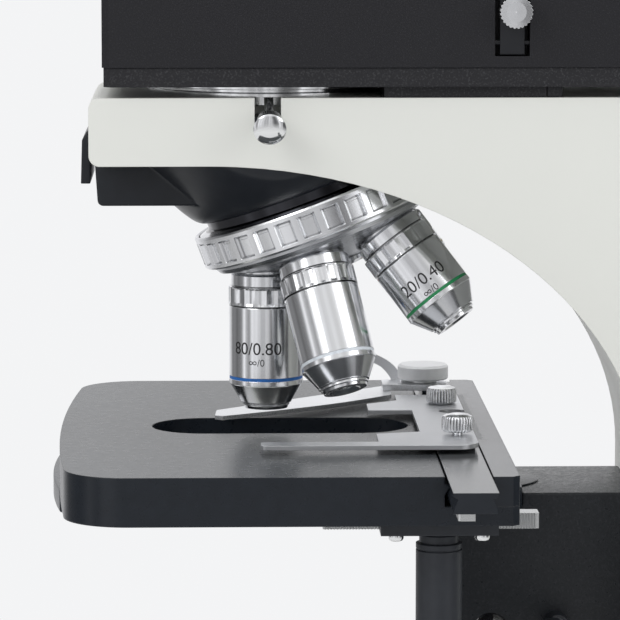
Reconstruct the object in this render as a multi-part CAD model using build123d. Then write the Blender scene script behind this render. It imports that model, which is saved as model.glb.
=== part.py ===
from build123d import *
from math import acos, cos, pi, radians, sin, sqrt, tan
import os

# An upright reflected-light microscope. All sizes are in millimetres.
# X runs from the operator to the column, Y from the operator's right to the left, Z is up.
# The origin is where the optical axis meets the underside of the base.

# Heights
STAGE_TOP = 185.0
ARM_ABOVE_STAGE = 109.0
ARM_TOP = STAGE_TOP + ARM_ABOVE_STAGE
NOSE_THICKNESS = 21.3
ARM_BOTTOM = ARM_TOP - NOSE_THICKNESS
BASE_TOP = 45.0

# Base
BASE_FRONT = -100.0
BASE_BACK = 206.0
BASE_HALF = 88.0
BASE_CORNER = 24.0
BASE_NOSE_HEIGHT = 26.0
BASE_SLOPE_END = 20.0
BASE_WALL = 6.0
BASE_ROOF = 8.0
PLATE_THICKNESS = 2.0
DATUM_RADIUS = 20.0
DATUM_GROOVE_WIDTH = 2.0
DATUM_GROOVE_DEPTH = 0.5
FOOT_RADIUS = 11.0
FOOT_HEIGHT = 3.0
FOOT_INSET = 26.0

# Arm and column
ARM_HALF = 42.0
ARM_FRONT = -55.7
ARC_START = -18.0
ARC_HEIGHT = 100.0
COLUMN_FRONT = 118.0
COLUMN_BACK = 200.0
COLUMN_SHOULDER = 34.0
NOSE_WALL = 5.2
NOSE_CORNER = 3.4
ARM_ROOF = 6.0
ARM_CHEEK = 5.5
CAVITY_BACK = 84.0
CAVITY_SLOPE = 26.0
LIGHT_BORE = 11.0
SEAT_BORE = 30.0
NOTCH_HALF = 4.1
NOTCH_DEPTH = 9.0
CLAMP_LEAN = 20.0
CLAMP_X = 0.4
CLAMP_REACH = 6.4
CLAMP_DROP = 6.2
CLAMP_STEM = 17.0
CLAMP_STEM_RADIUS = 1.5

# Nosepiece: its axis leans from the optical axis, which it meets at the apex
TILT = 20.7
APEX_ABOVE_STAGE = 114.2
POSITIONS = 5
SHOULDER_DISTANCE = 64.0
THREAD_RADIUS = 10.0
HOUSING_FACE = 37.5
HOUSING_RIM = 36.3
HOUSING_BELLY = 41.0
HOUSING_BELLY_AT = 31.2
HOUSING_TOP = 53.0
HOUSING_TOP_AT = 8.0
HOUSING_CLEARANCE = 0.3
FOOT_BLOCK_HALF = 24.0
FOOT_BLOCK_FRONT = -54.3
FOOT_BLOCK_DEPTH = 13.9
FIXED_RING_RADIUS = 34.8
FIXED_FLANGE_RADIUS = 38.5
FIXED_RING_BOTTOM = 43.6
POST_RADIUS = 8.0
TURRET_TOP = 44.0
TURRET_RADIUS = 37.4
TURRET_HUB_RADIUS = 12.0
TURRET_HUB_FACE = 63.9
GRIP_RADIUS = 40.3
GRIP_TOP = 41.2
GRIP_BOTTOM = 52.0
GRIP_RIBS = 32
POCKET_WIDTH = 4.7
POCKET_DEPTH = 1.3
POCKET_TOP = 43.3
POCKET_BOTTOM = 50.3
RUNNING = 0.05

# Objectives, from the shoulder to the tip, in the order they stand round the nosepiece
OBJECTIVES = {
    "objective_80x": 44.15,
    "objective_50x": 43.0,
    "objective_20x": 36.6,
    "objective_10x": 26.5,
    "objective_5x": 29.0,
}
BARREL_RADIUS = 11.95
COLLAR_RADIUS = 11.3
COLLAR_LENGTH = 4.2
GRIP_FACETS = 16
GRIP_LENGTH = 6.0
SHOULDER_LENGTH = 8.0
TIP_RADIUS = 7.65
LENS_RADIUS = 3.2
LENS_RECESS = 1.2

# Illuminator box over the arm
BOX_ABOVE_ARM = 3.5
BOX_BOTTOM = ARM_TOP + BOX_ABOVE_ARM
BOX_OVERHANG = 3.0
BOX_HALF = ARM_HALF + BOX_OVERHANG
BOX_FRONT = -51.4
BOX_BACK = 150.0
BOX_CORNER = 2.4
COVER_HEIGHT = 6.0
COVER_INSET = 0.5
BOX_HEIGHT = 60.0
BOX_TOP = BOX_BOTTOM + BOX_HEIGHT
PAD_FRONT = 36.2
BEAM_HEIGHT = BOX_BOTTOM + 32.0
TUNNEL_RADIUS = 17.0
TUNNEL_FRONT = -22.0
RING_RADIUS = 38.1
RING_LIP = 1.0
LEVER_X = 75.7
LEVER_WIDTH = 7.6
RECESS_WIDTH = 10.8
RECESS_DEPTH = 8.0
RECESS_FROM_BOTTOM = 9.5
RECESS_HEIGHT = 38.0
LEVER_THICKNESS = 2.4
LEVER_PIN_UP = 4.2
LEVER_PIN_RADIUS = 0.75
LEVER_KNOB_UP = 13.9
LEVER_KNOB_OFF = 0.7
THUMB_RADIUS = 5.1

# Lamp house
LAMP_FRONT = 160.0
LAMP_LENGTH = 88.0
LAMP_HALF = 38.0
LAMP_HEIGHT = 68.0
LAMP_WALL = 3.0
LAMP_SLOTS = 8
NECK_RADIUS = 27.0

# Viewing head
HEAD_RING_HEIGHT = 4.0
HEAD_BASE = BOX_TOP + HEAD_RING_HEIGHT
HEAD_RING_RADIUS = 34.0
HEAD_HALF = 38.0
HEAD_HEIGHT = 62.0
HEAD_REACH = 42.0
HEAD_FRONT = -HEAD_REACH
HEAD_BACK = HEAD_REACH
HEAD_CHIN = 24.0
HEAD_SKIRT = 8.0
EYE_ANGLE = 30.0
EYE_OFFSET = 37.5
EYE_DROP = 30.0
LOBE_RADIUS = 20.0
LOBE_THICKNESS = 13.0
LOBE_GAP = 0.3
EYE_TUBE_RADIUS = 17.0
EYE_TUBE_BORE = 15.0
EYE_TUBE_END = 62.0
EYEPIECE_LENGTH = 32.0
PHOTO_TUBE_RADIUS = 19.0
PHOTO_BORE = 11.6
PHOTO_TUBE_HEIGHT = 34.0

# Stage plate, its heights counted down from its top
PLATE_LEFT = -61.0
PLATE_BULGE = 5.2
PLATE_RIGHT = 51.6
PLATE_HALF = 105.3
PLATE_MID = 1.0
PLATE_DEPTH = 14.9
PLATE_ROUND = 20.0
LEDGE_RIGHT = 74.2
LEDGE_DEPTH = 9.1
LEDGE_CHAMFER = 2.1
SLOT_LEFT = -37.0
SLOT_RIGHT = 46.0
SLOT_HALF = 17.0
BLOCK_LEFT = 66.2

# Slider bar, its rack and the specimen holder
BAR_LEFT = 52.3
BAR_RIGHT = 65.7
BAR_DEPTH = 6.2
BAR_LIP = 1.1
BAR_UNDERCUT = 1.5
BAR_NEAR = -133.7
BAR_FAR = 96.0
RACK_MODULE = 0.3
BAR_RACK_HEIGHT = 2.15
BAR_RACK_BACK = 58.8
PAD_TOP = 1.6
HOLDER_THICKNESS = 1.4
HOLDER_NEAR = -62.5
HOLDER_RIGHT = 65.0
HOLDER_FAR = 48.0
FINGER_WIDTH = 8.0
FINGER_TIP = -2.5
PIVOT_X = 54.5
PIVOT_Y = 65.0
HUB_RADIUS = 8.2
HUB_THICKNESS = 2.0
KNOB_RADIUS = 8.6
KNOB_HEIGHT = 5.0
SCREW_FRONT = (59.5, -40.0)
SCREW_REAR = (58.6, 28.0)

# Coaxial stage drive
DRIVE_X = 51.1
DRIVE_Y = -85.0
TRAVEL_TEETH = 40
CROSS_TEETH = 20
TRAVEL_PITCH = RACK_MODULE * TRAVEL_TEETH / 2
CROSS_PITCH = RACK_MODULE * CROSS_TEETH / 2
FIXED_RACK_LEFT = 16.0
FIXED_RACK_RIGHT = 82.0
FIXED_RACK_HEIGHT = 4.8
STAGE_GAP = 0.5
BRACKET_LEFT = 33.0
BRACKET_RIGHT = 68.6
BRACKET_NEAR = -95.0
BRACKET_DEPTH = 4.6
SLEEVE_RADIUS = 7.04
NECK_DRIVE_RADIUS = 6.03
SLEEVE_LENGTH = 46.0
TRAVEL_TUBE_RADIUS = 5.0
CROSS_SHAFT_RADIUS = 3.0
CROSS_TOP_RADIUS = 2.2
UPPER_KNOB_RADIUS = 17.0
LOWER_KNOB_RADIUS = 13.0
DRIVE_KNOB_HEIGHT = 15.0

# Lower stage plate and focusing block
LOWER_LEFT = -69.0
LOWER_HALF = 50.0
LOWER_ROUND = 30.0
LOWER_DEPTH = 7.0
FOCUS_FRONT = 81.0
FOCUS_HALF = 27.0
FOCUS_TOP = STAGE_TOP - 18.0
FOCUS_BOTTOM = 76.0
FOCUS_TONGUE_HALF = 14.0
FOCUS_GAP = 0.3
KNOB_AXIS_X = 135.0
KNOB_AXIS_Z = 82.0
FOCUS_MODULE = 0.75
FOCUS_TEETH = 16
FOCUS_PITCH = FOCUS_MODULE * FOCUS_TEETH / 2
FOCUS_RACK_HALF = 7.0
FOCUS_RACK_THICKNESS = 4.0
FOCUS_UP = 1.2
COARSE_SHAFT = 5.0
FINE_SHAFT = 2.5
KNOB_FIT = 0.02
BOSS_RADIUS = 12.0
BOSS_LENGTH = 5.0
COARSE_RADIUS = 26.0
COARSE_WIDTH = 18.0
FINE_RADIUS = 15.0
FINE_WIDTH = 15.0

# Controls on the base
DIAL_X = -58.0
DIAL_Z = 16.0
DIAL_RADIUS = 9.0
DIAL_REACH = 7.0
SWITCH_Y = -40.0
SOCKET_Y = 34.0
PANEL_Z = 22.0
SOCKET_DEPTH = 16.0

PRESSURE_ANGLE = radians(20)
BACKLASH = 0.05
MIN = (Align.CENTER, Align.CENTER, Align.MIN)

TURRET = Plane(
    origin=(0, 0, STAGE_TOP + APEX_ABOVE_STAGE),
    x_dir=(cos(radians(TILT)), 0, sin(radians(TILT))),
    z_dir=(sin(radians(TILT)), 0, -cos(radians(TILT))),
)
EYE_DIRECTION = Vector(-cos(radians(EYE_ANGLE)), 0, sin(radians(EYE_ANGLE)))


def block(x0, x1, y0, y1, z0, z1):
    """A box between two corners."""
    return Pos((x0 + x1) / 2, (y0 + y1) / 2, (z0 + z1) / 2) * Box(x1 - x0, y1 - y0, z1 - z0)


def rod(radius, start, end):
    """A cylinder from one point to another."""
    start, end = Vector(*start), Vector(*end)
    return Plane(origin=start, z_dir=end - start) * Cylinder(radius, (end - start).length, align=MIN)


def turned(points, place=Plane.XY):
    """A body turned about the z axis of its place, from (radius, height) points."""
    outline = Polyline(*[(radius, 0, height) for radius, height in points], close=True)
    return place * revolve(make_face(outline), Axis.Z)


def shape(points):
    """A flat outline with straight sides."""
    return make_face(Polyline(*points, close=True))


def rounded(outline, corners):
    """An outline with chosen corners rounded, each given as (x, y, radius)."""
    for x, y, radius in corners:
        outline = fillet(outline.vertices().sort_by_distance((x, y))[0], radius)
    return outline


def side_wall(outline, half):
    """An outline drawn in X and Z, given its width either way along Y."""
    return extrude(Plane.XZ * outline, amount=half, both=True)


def slab(outline, bottom, top):
    """An outline drawn in X and Y, between two heights."""
    return extrude(Pos(0, 0, bottom) * outline, amount=top - bottom)


def both_sides(solid):
    """A solid and its mirror image across the plane of symmetry."""
    return solid + mirror(solid, Plane.XZ)


def pinion(module, teeth, height):
    """A spur pinion on z = 0, with involute flanks and one tooth centred on x."""
    pitch = module * teeth / 2
    base = pitch * cos(PRESSURE_ANGLE)
    radii = (module * (teeth / 2 - 1.25), pitch, module * (teeth / 2 + 1))

    def half_angle(radius):
        pressure = acos(min(1.0, base / max(radius, base)))
        flank = tan(PRESSURE_ANGLE) - PRESSURE_ANGLE - tan(pressure) + pressure
        return pi / (2 * teeth) + flank - BACKLASH / pitch / 2

    points = []
    for tooth in range(teeth):
        middle = 2 * pi * tooth / teeth
        for side, order in ((-1, radii), (1, radii[::-1])):
            for radius in order:
                angle = middle + side * half_angle(radius)
                points.append((radius * cos(angle), radius * sin(angle)))
    return extrude(make_face(Polyline(*points, close=True)), amount=height)


def rack_outline(module, first, last, thickness):
    """A rack along x with its pitch line on y = 0 and a tooth space centred on x = 0."""
    pitch = pi * module
    tip, root = module, -1.25 * module
    half = pitch / 4 - BACKLASH / 2
    points = [(first, root)]
    tooth = int(first / pitch) - 1
    while (tooth + 0.5) * pitch + pitch / 2 < last:
        middle = (tooth + 0.5) * pitch
        if middle - pitch / 2 > first:
            for side in (-1, 1):
                wide = half - root * tan(PRESSURE_ANGLE)
                narrow = half - tip * tan(PRESSURE_ANGLE)
                pair = [(middle + side * wide, root), (middle + side * narrow, tip)]
                points += pair if side < 0 else pair[::-1]
        tooth += 1
    points += [(last, root), (last, tip - thickness), (first, tip - thickness)]
    return shape(points)


def flute(radius, depth, width, height):
    """A V-shaped groove in a round side, standing on z = 0 and pointing along x."""
    return slab(shape([(radius - depth, 0), (radius + depth, -width), (radius + depth, width)]), 0,
                height)


def fluted(solid, groove, count):
    """A round solid with one groove repeated all round it."""
    for index in range(count):
        solid -= Rot(0, 0, 360 / count * index) * groove
    return solid


def thumbscrew(radius, length, dome, stem_radius, stem_length, flutes):
    """A fluted thumbscrew standing on z = 0, with its stem below and a domed face on top."""
    head = turned([(0, 0), (radius - 0.8, 0), (radius, 0.8), (radius, length),
                   (radius * 0.6, length + dome * 0.8), (0, length + dome)])
    head = fluted(head, flute(radius, 0.4, 1.0, length + dome), flutes)
    return head + Pos(0, 0, -stem_length) * Cylinder(stem_radius, stem_length, align=MIN)


# Stand

def base_outline(inset):
    """The base's plan, set in by a distance."""
    return Pos((BASE_FRONT + BASE_BACK) / 2, 0) * RectangleRounded(
        BASE_BACK - BASE_FRONT - 2 * inset, 2 * (BASE_HALF - inset), BASE_CORNER - inset)


def base_profile(drop):
    """The base's side view, low at the operator's end and flat under the column."""
    front, back = BASE_FRONT - 1, BASE_BACK + 1
    slope = Spline((front, BASE_NOSE_HEIGHT - drop), (BASE_SLOPE_END, BASE_TOP - drop),
                   tangents=((1, 0.35), (1, 0)))
    outline = Polyline((BASE_SLOPE_END, BASE_TOP - drop), (back, BASE_TOP - drop), (back, -1),
                       (front, -1), (front, BASE_NOSE_HEIGHT - drop))
    return make_face([slope, *outline.edges()])


def base_casting():
    outside = slab(base_outline(0), 0, BASE_TOP)
    body = outside & side_wall(base_profile(0), BASE_HALF + 1)
    inside = slab(base_outline(BASE_WALL), PLATE_THICKNESS, BASE_TOP)
    inside &= side_wall(base_profile(BASE_ROOF), BASE_HALF + 1)
    body -= inside
    body -= slab(base_outline(BASE_WALL / 2), 0, PLATE_THICKNESS)
    body -= rod(2.5 + RUNNING, (DIAL_X, -BASE_HALF - 1, DIAL_Z),
                (DIAL_X, -BASE_HALF + BASE_WALL + 1, DIAL_Z))
    body -= panel_cutout(SWITCH_Y, 20.0, 13.0)
    body -= panel_cutout(SOCKET_Y, 28.0, 20.0)
    return body


def panel_cutout(middle, width, height):
    return block(BASE_BACK - BASE_WALL - 1, BASE_BACK + 1, middle - width / 2, middle + width / 2,
                 PANEL_Z - height / 2, PANEL_Z + height / 2)


def base_plate():
    """The plate that closes the base, with a round datum face inside a shallow groove."""
    groove = Circle(DATUM_RADIUS + DATUM_GROOVE_WIDTH) - Circle(DATUM_RADIUS)
    return slab(base_outline(BASE_WALL / 2), 0, PLATE_THICKNESS) - slab(groove, 0, DATUM_GROOVE_DEPTH)


def rubber_feet():
    foot = turned([(0, 0), (FOOT_RADIUS, 0), (FOOT_RADIUS - 1, -FOOT_HEIGHT), (0, -FOOT_HEIGHT)])
    feet = Part()
    for x in (BASE_FRONT + FOOT_INSET, BASE_BACK - FOOT_INSET):
        for side in (-1, 1):
            feet += Pos(x, side * (BASE_HALF - FOOT_INSET), 0) * foot
    return feet


def arm_outline():
    """The arm and column seen from the side, with the long curve of the throat."""
    throat = EllipticalCenterArc((ARC_START, ARM_BOTTOM - ARC_HEIGHT), COLUMN_FRONT - ARC_START,
                                 ARC_HEIGHT,
                                 start_angle=0, arc_size=90)
    frame = Polyline((COLUMN_FRONT, ARM_BOTTOM - ARC_HEIGHT), (COLUMN_FRONT, BASE_TOP),
                     (COLUMN_BACK, BASE_TOP),
                     (COLUMN_BACK, ARM_TOP), (ARM_FRONT, ARM_TOP), (ARM_FRONT, ARM_BOTTOM),
                     (ARC_START, ARM_BOTTOM))
    return rounded(make_face([throat, *frame.edges()]),
                   [(COLUMN_BACK, ARM_TOP, COLUMN_SHOULDER), (ARM_FRONT, ARM_TOP, NOSE_CORNER),
                    (ARM_FRONT, ARM_BOTTOM, NOSE_CORNER)])


def focus_channel():
    """The channel in the column's front for the tongue of the focusing block."""
    return block(COLUMN_FRONT - 1, KNOB_AXIS_X - 2, -FOCUS_TONGUE_HALF - FOCUS_GAP,
                 FOCUS_TONGUE_HALF + FOCUS_GAP, BASE_TOP - 1, FOCUS_TOP + FOCUS_UP + 2)


def arm_casting():
    body = side_wall(arm_outline(), ARM_HALF)
    roof = ARM_TOP - ARM_ROOF
    hollow = shape([(ARM_FRONT + NOSE_WALL, ARM_BOTTOM - 60), (ARM_FRONT + NOSE_WALL, roof),
                    (CAVITY_BACK - CAVITY_SLOPE, roof), (CAVITY_BACK, roof - CAVITY_SLOPE),
                    (CAVITY_BACK, ARM_BOTTOM - 60)])
    body -= side_wall(hollow, ARM_HALF - ARM_CHEEK)
    body -= Pos(0, 0, roof - 1) * Cylinder(LIGHT_BORE, ARM_ROOF + 2, align=MIN)
    body -= Pos(0, 0, ARM_TOP - 3) * Cylinder(SEAT_BORE, 4, align=MIN)
    body -= block(-NOTCH_HALF, NOTCH_HALF, -ARM_HALF - 1, -SEAT_BORE + 4, ARM_TOP - NOTCH_DEPTH,
                  ARM_TOP + 1)
    body -= focus_channel()
    axis = (KNOB_AXIS_X, KNOB_AXIS_Z)
    ends = [(axis[0], side * (ARM_HALF + BOSS_LENGTH), axis[1]) for side in (-1, 1)]
    body += rod(BOSS_RADIUS, ends[0], ends[1]) - focus_channel()
    body -= rod(COARSE_SHAFT + RUNNING, (axis[0], ends[0][1] - 1, axis[1]),
                (axis[0], ends[1][1] + 1, axis[1]))
    chamber = FOCUS_RACK_HALF + 1
    body -= rod(FOCUS_PITCH + FOCUS_MODULE + 0.6, (axis[0], -chamber, axis[1]),
                (axis[0], chamber, axis[1]))
    return body


def nose_housing():
    """The black housing that carries the nosepiece: a leaning bowl with a square toe."""
    bowl_side = Spline((HOUSING_TOP, 0, HOUSING_TOP_AT), (HOUSING_BELLY, 0, HOUSING_BELLY_AT),
                       (HOUSING_RIM, 0, HOUSING_FACE))
    rest = Polyline((HOUSING_RIM, 0, HOUSING_FACE), (0, 0, HOUSING_FACE), (0, 0, HOUSING_TOP_AT),
                    (HOUSING_TOP, 0, HOUSING_TOP_AT))
    bowl = TURRET * revolve(make_face([bowl_side, *rest.edges()]), Axis.Z)
    half = ARM_HALF - ARM_CHEEK - HOUSING_CLEARANCE
    roof = ARM_TOP - ARM_ROOF
    body = bowl & block(ARM_FRONT + NOSE_WALL + HOUSING_CLEARANCE, HOUSING_TOP + 4, -half, half,
                        STAGE_TOP, roof)
    toe = rounded(shape([(FOOT_BLOCK_FRONT, ARM_BOTTOM),
                         (FOOT_BLOCK_FRONT + 0.8, ARM_BOTTOM - FOOT_BLOCK_DEPTH),
                         (-20, ARM_BOTTOM - FOOT_BLOCK_DEPTH), (0, ARM_BOTTOM)]),
                  [(FOOT_BLOCK_FRONT + 0.8, ARM_BOTTOM - FOOT_BLOCK_DEPTH, 1.8)])
    body += side_wall(toe, FOOT_BLOCK_HALF)
    body -= Pos(0, 0, STAGE_TOP) * Cylinder(LIGHT_BORE, ARM_ABOVE_STAGE, align=MIN)
    return body


def front_cover():
    """The narrow black plate on the front of the arm, thinned to a wedge at its top."""
    top = ARM_TOP - 13.2
    bottom = ARM_BOTTOM - 8.8
    face = ARM_FRONT - 3.0
    wedge = shape([(ARM_FRONT, bottom), (face, bottom), (face + 0.4, top - 2.5), (ARM_FRONT - 1.0, top),
                   (ARM_FRONT, top)])
    return side_wall(wedge, FOOT_BLOCK_HALF) - block(FOOT_BLOCK_FRONT - 2, 0, -ARM_HALF, ARM_HALF, 0,
                                                     bottom)


def nosepiece_ring():
    """The fixed half of the nosepiece: a flanged disc with the post that the turret turns on."""
    face = TURRET_HUB_FACE + 0.2
    body = turned([(0, HOUSING_FACE), (FIXED_RING_RADIUS, HOUSING_FACE), (FIXED_RING_RADIUS, 40.2),
                   (FIXED_RING_RADIUS + 0.6, 40.7), (FIXED_FLANGE_RADIUS, 41.6),
                   (FIXED_FLANGE_RADIUS, FIXED_RING_BOTTOM), (POST_RADIUS, FIXED_RING_BOTTOM),
                   (POST_RADIUS, face), (TURRET_HUB_RADIUS - 1, face),
                   (TURRET_HUB_RADIUS - 1, face + 1.2),
                   (TURRET_HUB_RADIUS - 2.2, face + 2.2), (0, face + 2.2)], TURRET)
    return body - Pos(0, 0, STAGE_TOP + 60) * Cylinder(LIGHT_BORE - 2, 40, align=MIN)


def arm_seat_ring():
    """The bright round seat under the illuminator, with a groove between its two lips."""
    top = BOX_BOTTOM - ARM_TOP
    ring = turned([(LIGHT_BORE, -3), (SEAT_BORE, -3), (SEAT_BORE, 0), (RING_RADIUS, 0),
                   (RING_RADIUS, RING_LIP),
                   (RING_RADIUS - 2, RING_LIP + 0.3), (RING_RADIUS - 2, top - 1.4),
                   (RING_RADIUS - 0.3, top - 1.2),
                   (RING_RADIUS - 0.3, top), (LIGHT_BORE, top)])
    ring = Pos(0, 0, ARM_TOP) * ring
    return ring - clamp_place(-30) * Cylinder(CLAMP_STEM_RADIUS + RUNNING, 30, align=MIN)


def clamp_place(out):
    """A place on the arm clamp screw's axis, z outwards, at a distance from the root of its head."""
    lean = radians(CLAMP_LEAN)
    outward = Vector(0, -cos(lean), -sin(lean))
    return Plane(origin=Vector(CLAMP_X, -ARM_HALF - CLAMP_REACH, ARM_TOP - CLAMP_DROP) + outward * out,
                 z_dir=outward)


# Illuminator

def box_outline(inset):
    front, back, half = BOX_FRONT + inset, BOX_BACK - inset, BOX_HALF - inset
    cut = BOX_CORNER
    return shape([(front + cut, -half), (back, -half), (back, half), (front + cut, half),
                  (front, half - cut),
                  (front, -half + cut)])


def light_well():
    return Pos(0, 0, BOX_BOTTOM - 1) * Cylinder(LIGHT_BORE, BOX_HEIGHT + 2, align=MIN)


def illuminator_cover():
    cover = slab(box_outline(COVER_INSET), BOX_BOTTOM, BOX_BOTTOM + COVER_HEIGHT)
    pad = ARM_HALF - 0.6
    cover += block(PAD_FRONT, PAD_FRONT + 50.5, -pad, pad, ARM_TOP, BOX_BOTTOM)
    cover += block(PAD_FRONT + 50.8, PAD_FRONT + 55.4, -pad, pad, ARM_TOP, BOX_BOTTOM)
    cover -= Pos(0, 0, ARM_TOP - 1) * Cylinder(RING_RADIUS + RUNNING, BOX_ABOVE_ARM + 1, align=MIN)
    return cover - light_well()


def illuminator_housing():
    body = slab(box_outline(0), BOX_BOTTOM + COVER_HEIGHT, BOX_TOP)
    body -= light_well()
    body -= rod(TUNNEL_RADIUS, (TUNNEL_FRONT, 0, BEAM_HEIGHT), (BOX_BACK + 1, 0, BEAM_HEIGHT))
    left = LEVER_X - RECESS_WIDTH / 2
    floor = BOX_BOTTOM + RECESS_FROM_BOTTOM
    body -= block(left, left + RECESS_WIDTH, -BOX_HALF - 1, -BOX_HALF + RECESS_DEPTH, floor,
                  floor + RECESS_HEIGHT)
    pin = lever_pin_height()
    body -= rod(LEVER_PIN_RADIUS + RUNNING, (left - 2, -BOX_HALF + 2, pin),
                (left + RECESS_WIDTH + 2, -BOX_HALF + 2, pin))
    return body


def lever_pin_height():
    return BOX_BOTTOM + RECESS_FROM_BOTTOM + LEVER_PIN_UP


def selector_lever():
    """The black lever on a cross pin, low in its recess."""
    floor = BOX_BOTTOM + RECESS_FROM_BOTTOM
    middle = -BOX_HALF + 2
    body = block(LEVER_X - LEVER_WIDTH / 2, LEVER_X + LEVER_WIDTH / 2, middle - LEVER_THICKNESS / 2,
                 middle + LEVER_THICKNESS / 2, floor + 0.5, floor + LEVER_KNOB_UP + 8)
    half = RECESS_WIDTH / 2 + 1.5
    body += rod(LEVER_PIN_RADIUS, (LEVER_X - half, middle, lever_pin_height()),
                (LEVER_X + half, middle, lever_pin_height()))
    return body


def selector_knob():
    face = -BOX_HALF + 2 - LEVER_THICKNESS / 2
    place = Plane(origin=(LEVER_X + LEVER_KNOB_OFF, face - 0.6,
                          BOX_BOTTOM + RECESS_FROM_BOTTOM + LEVER_KNOB_UP),
                  z_dir=(0, -1, 0))
    return place * thumbscrew(THUMB_RADIUS, 7.0, 0.3, 1.5, 0.6, 24)


def beam_splitter():
    """The half-silvered plate across the light tunnel, leaning at 45 degrees over the optical axis."""
    plate = Pos(0, 0, BEAM_HEIGHT) * Rot(0, 45, 0) * Box(80, 80, 1.2)
    return plate & rod(TUNNEL_RADIUS, (TUNNEL_FRONT, 0, BEAM_HEIGHT), (40, 0, BEAM_HEIGHT))


def collector_lens():
    lens = turned([(0, 5.5), (TUNNEL_RADIUS * 0.6, 4.2), (TUNNEL_RADIUS, 1.5), (TUNNEL_RADIUS, -1.5),
                   (TUNNEL_RADIUS * 0.6, -4.2), (0, -5.5)])
    return Plane(origin=(BOX_BACK - 14, 0, BEAM_HEIGHT), z_dir=(1, 0, 0)) * lens


def lamp_house():
    """The ventilated lamp house, with a neck that bolts to the back of the illuminator."""
    back = LAMP_FRONT + LAMP_LENGTH
    bottom = BEAM_HEIGHT - LAMP_HEIGHT / 2
    top = bottom + LAMP_HEIGHT
    outline = rounded(shape([(LAMP_FRONT, bottom), (back, bottom), (back, top), (LAMP_FRONT, top)]),
                      [(back, top, 12), (back, bottom, 6)])
    inner = rounded(shape([(LAMP_FRONT + LAMP_WALL, bottom + LAMP_WALL),
                           (back - LAMP_WALL, bottom + LAMP_WALL),
                           (back - LAMP_WALL, top - LAMP_WALL),
                           (LAMP_FRONT + LAMP_WALL, top - LAMP_WALL)]),
                    [(back - LAMP_WALL, top - LAMP_WALL, 9), (back - LAMP_WALL, bottom + LAMP_WALL, 3)])
    body = side_wall(outline, LAMP_HALF) - side_wall(inner, LAMP_HALF - LAMP_WALL)
    neck = rod(NECK_RADIUS, (BOX_BACK, 0, BEAM_HEIGHT), (LAMP_FRONT + 1, 0, BEAM_HEIGHT))
    body += neck
    body -= rod(TUNNEL_RADIUS, (BOX_BACK - 1, 0, BEAM_HEIGHT),
                (LAMP_FRONT + LAMP_WALL + 1, 0, BEAM_HEIGHT))
    spacing = (LAMP_LENGTH - 24) / (LAMP_SLOTS - 1)
    for index in range(LAMP_SLOTS):
        middle = LAMP_FRONT + 10 + spacing * index
        body -= block(middle - 1.6, middle + 1.6, -LAMP_HALF + 9, LAMP_HALF - 9, top - LAMP_WALL - 1,
                      top + 1)
        body -= block(middle - 1.6, middle + 1.6, -LAMP_HALF + 9, LAMP_HALF - 9, bottom - 1,
                      bottom + LAMP_WALL + 1)
    return body


def lamp_bulb():
    """A small halogen capsule in its ceramic base, standing on the lamp house floor."""
    middle = LAMP_FRONT + LAMP_LENGTH / 2 - 8
    floor = BEAM_HEIGHT - LAMP_HEIGHT / 2 + LAMP_WALL
    holder = block(middle - 9, middle + 9, -8, 8, floor, BEAM_HEIGHT - 14)
    return holder + Pos(middle, 0, BEAM_HEIGHT - 14) * turned(
        [(0, 0), (5.5, 0), (5.5, 16), (4, 19), (1.2, 21), (0, 22)])


def head_seat_ring():
    ring = turned([(LIGHT_BORE, 0), (HEAD_RING_RADIUS, 0), (HEAD_RING_RADIUS, HEAD_RING_HEIGHT - 0.2),
                   (LIGHT_BORE, HEAD_RING_HEIGHT - 0.2)])
    collar = turned([(30.1, 0), (HEAD_RING_RADIUS + 3, 0), (HEAD_RING_RADIUS + 3, 7.6), (30.1, 7.6)])
    ring = Pos(0, 0, BOX_TOP) * (ring + collar)
    return ring - rod(2 + RUNNING, (0, -50, BOX_TOP + 5.6), (0, -28, BOX_TOP + 5.6))


# Viewing head

def eye_plane():
    """The face that the eyepiece lobes swing on: z leaves along the eyepieces, x is to the left."""
    length = (HEAD_HEIGHT - HEAD_CHIN) / cos(radians(EYE_ANGLE)) / 2
    middle = Vector(HEAD_FRONT + length * sin(radians(EYE_ANGLE)), 0,
                    HEAD_BASE + HEAD_CHIN + length * cos(radians(EYE_ANGLE)))
    return Plane(origin=middle + EYE_DIRECTION * LOBE_GAP, x_dir=(0, 1, 0), z_dir=EYE_DIRECTION)


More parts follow.
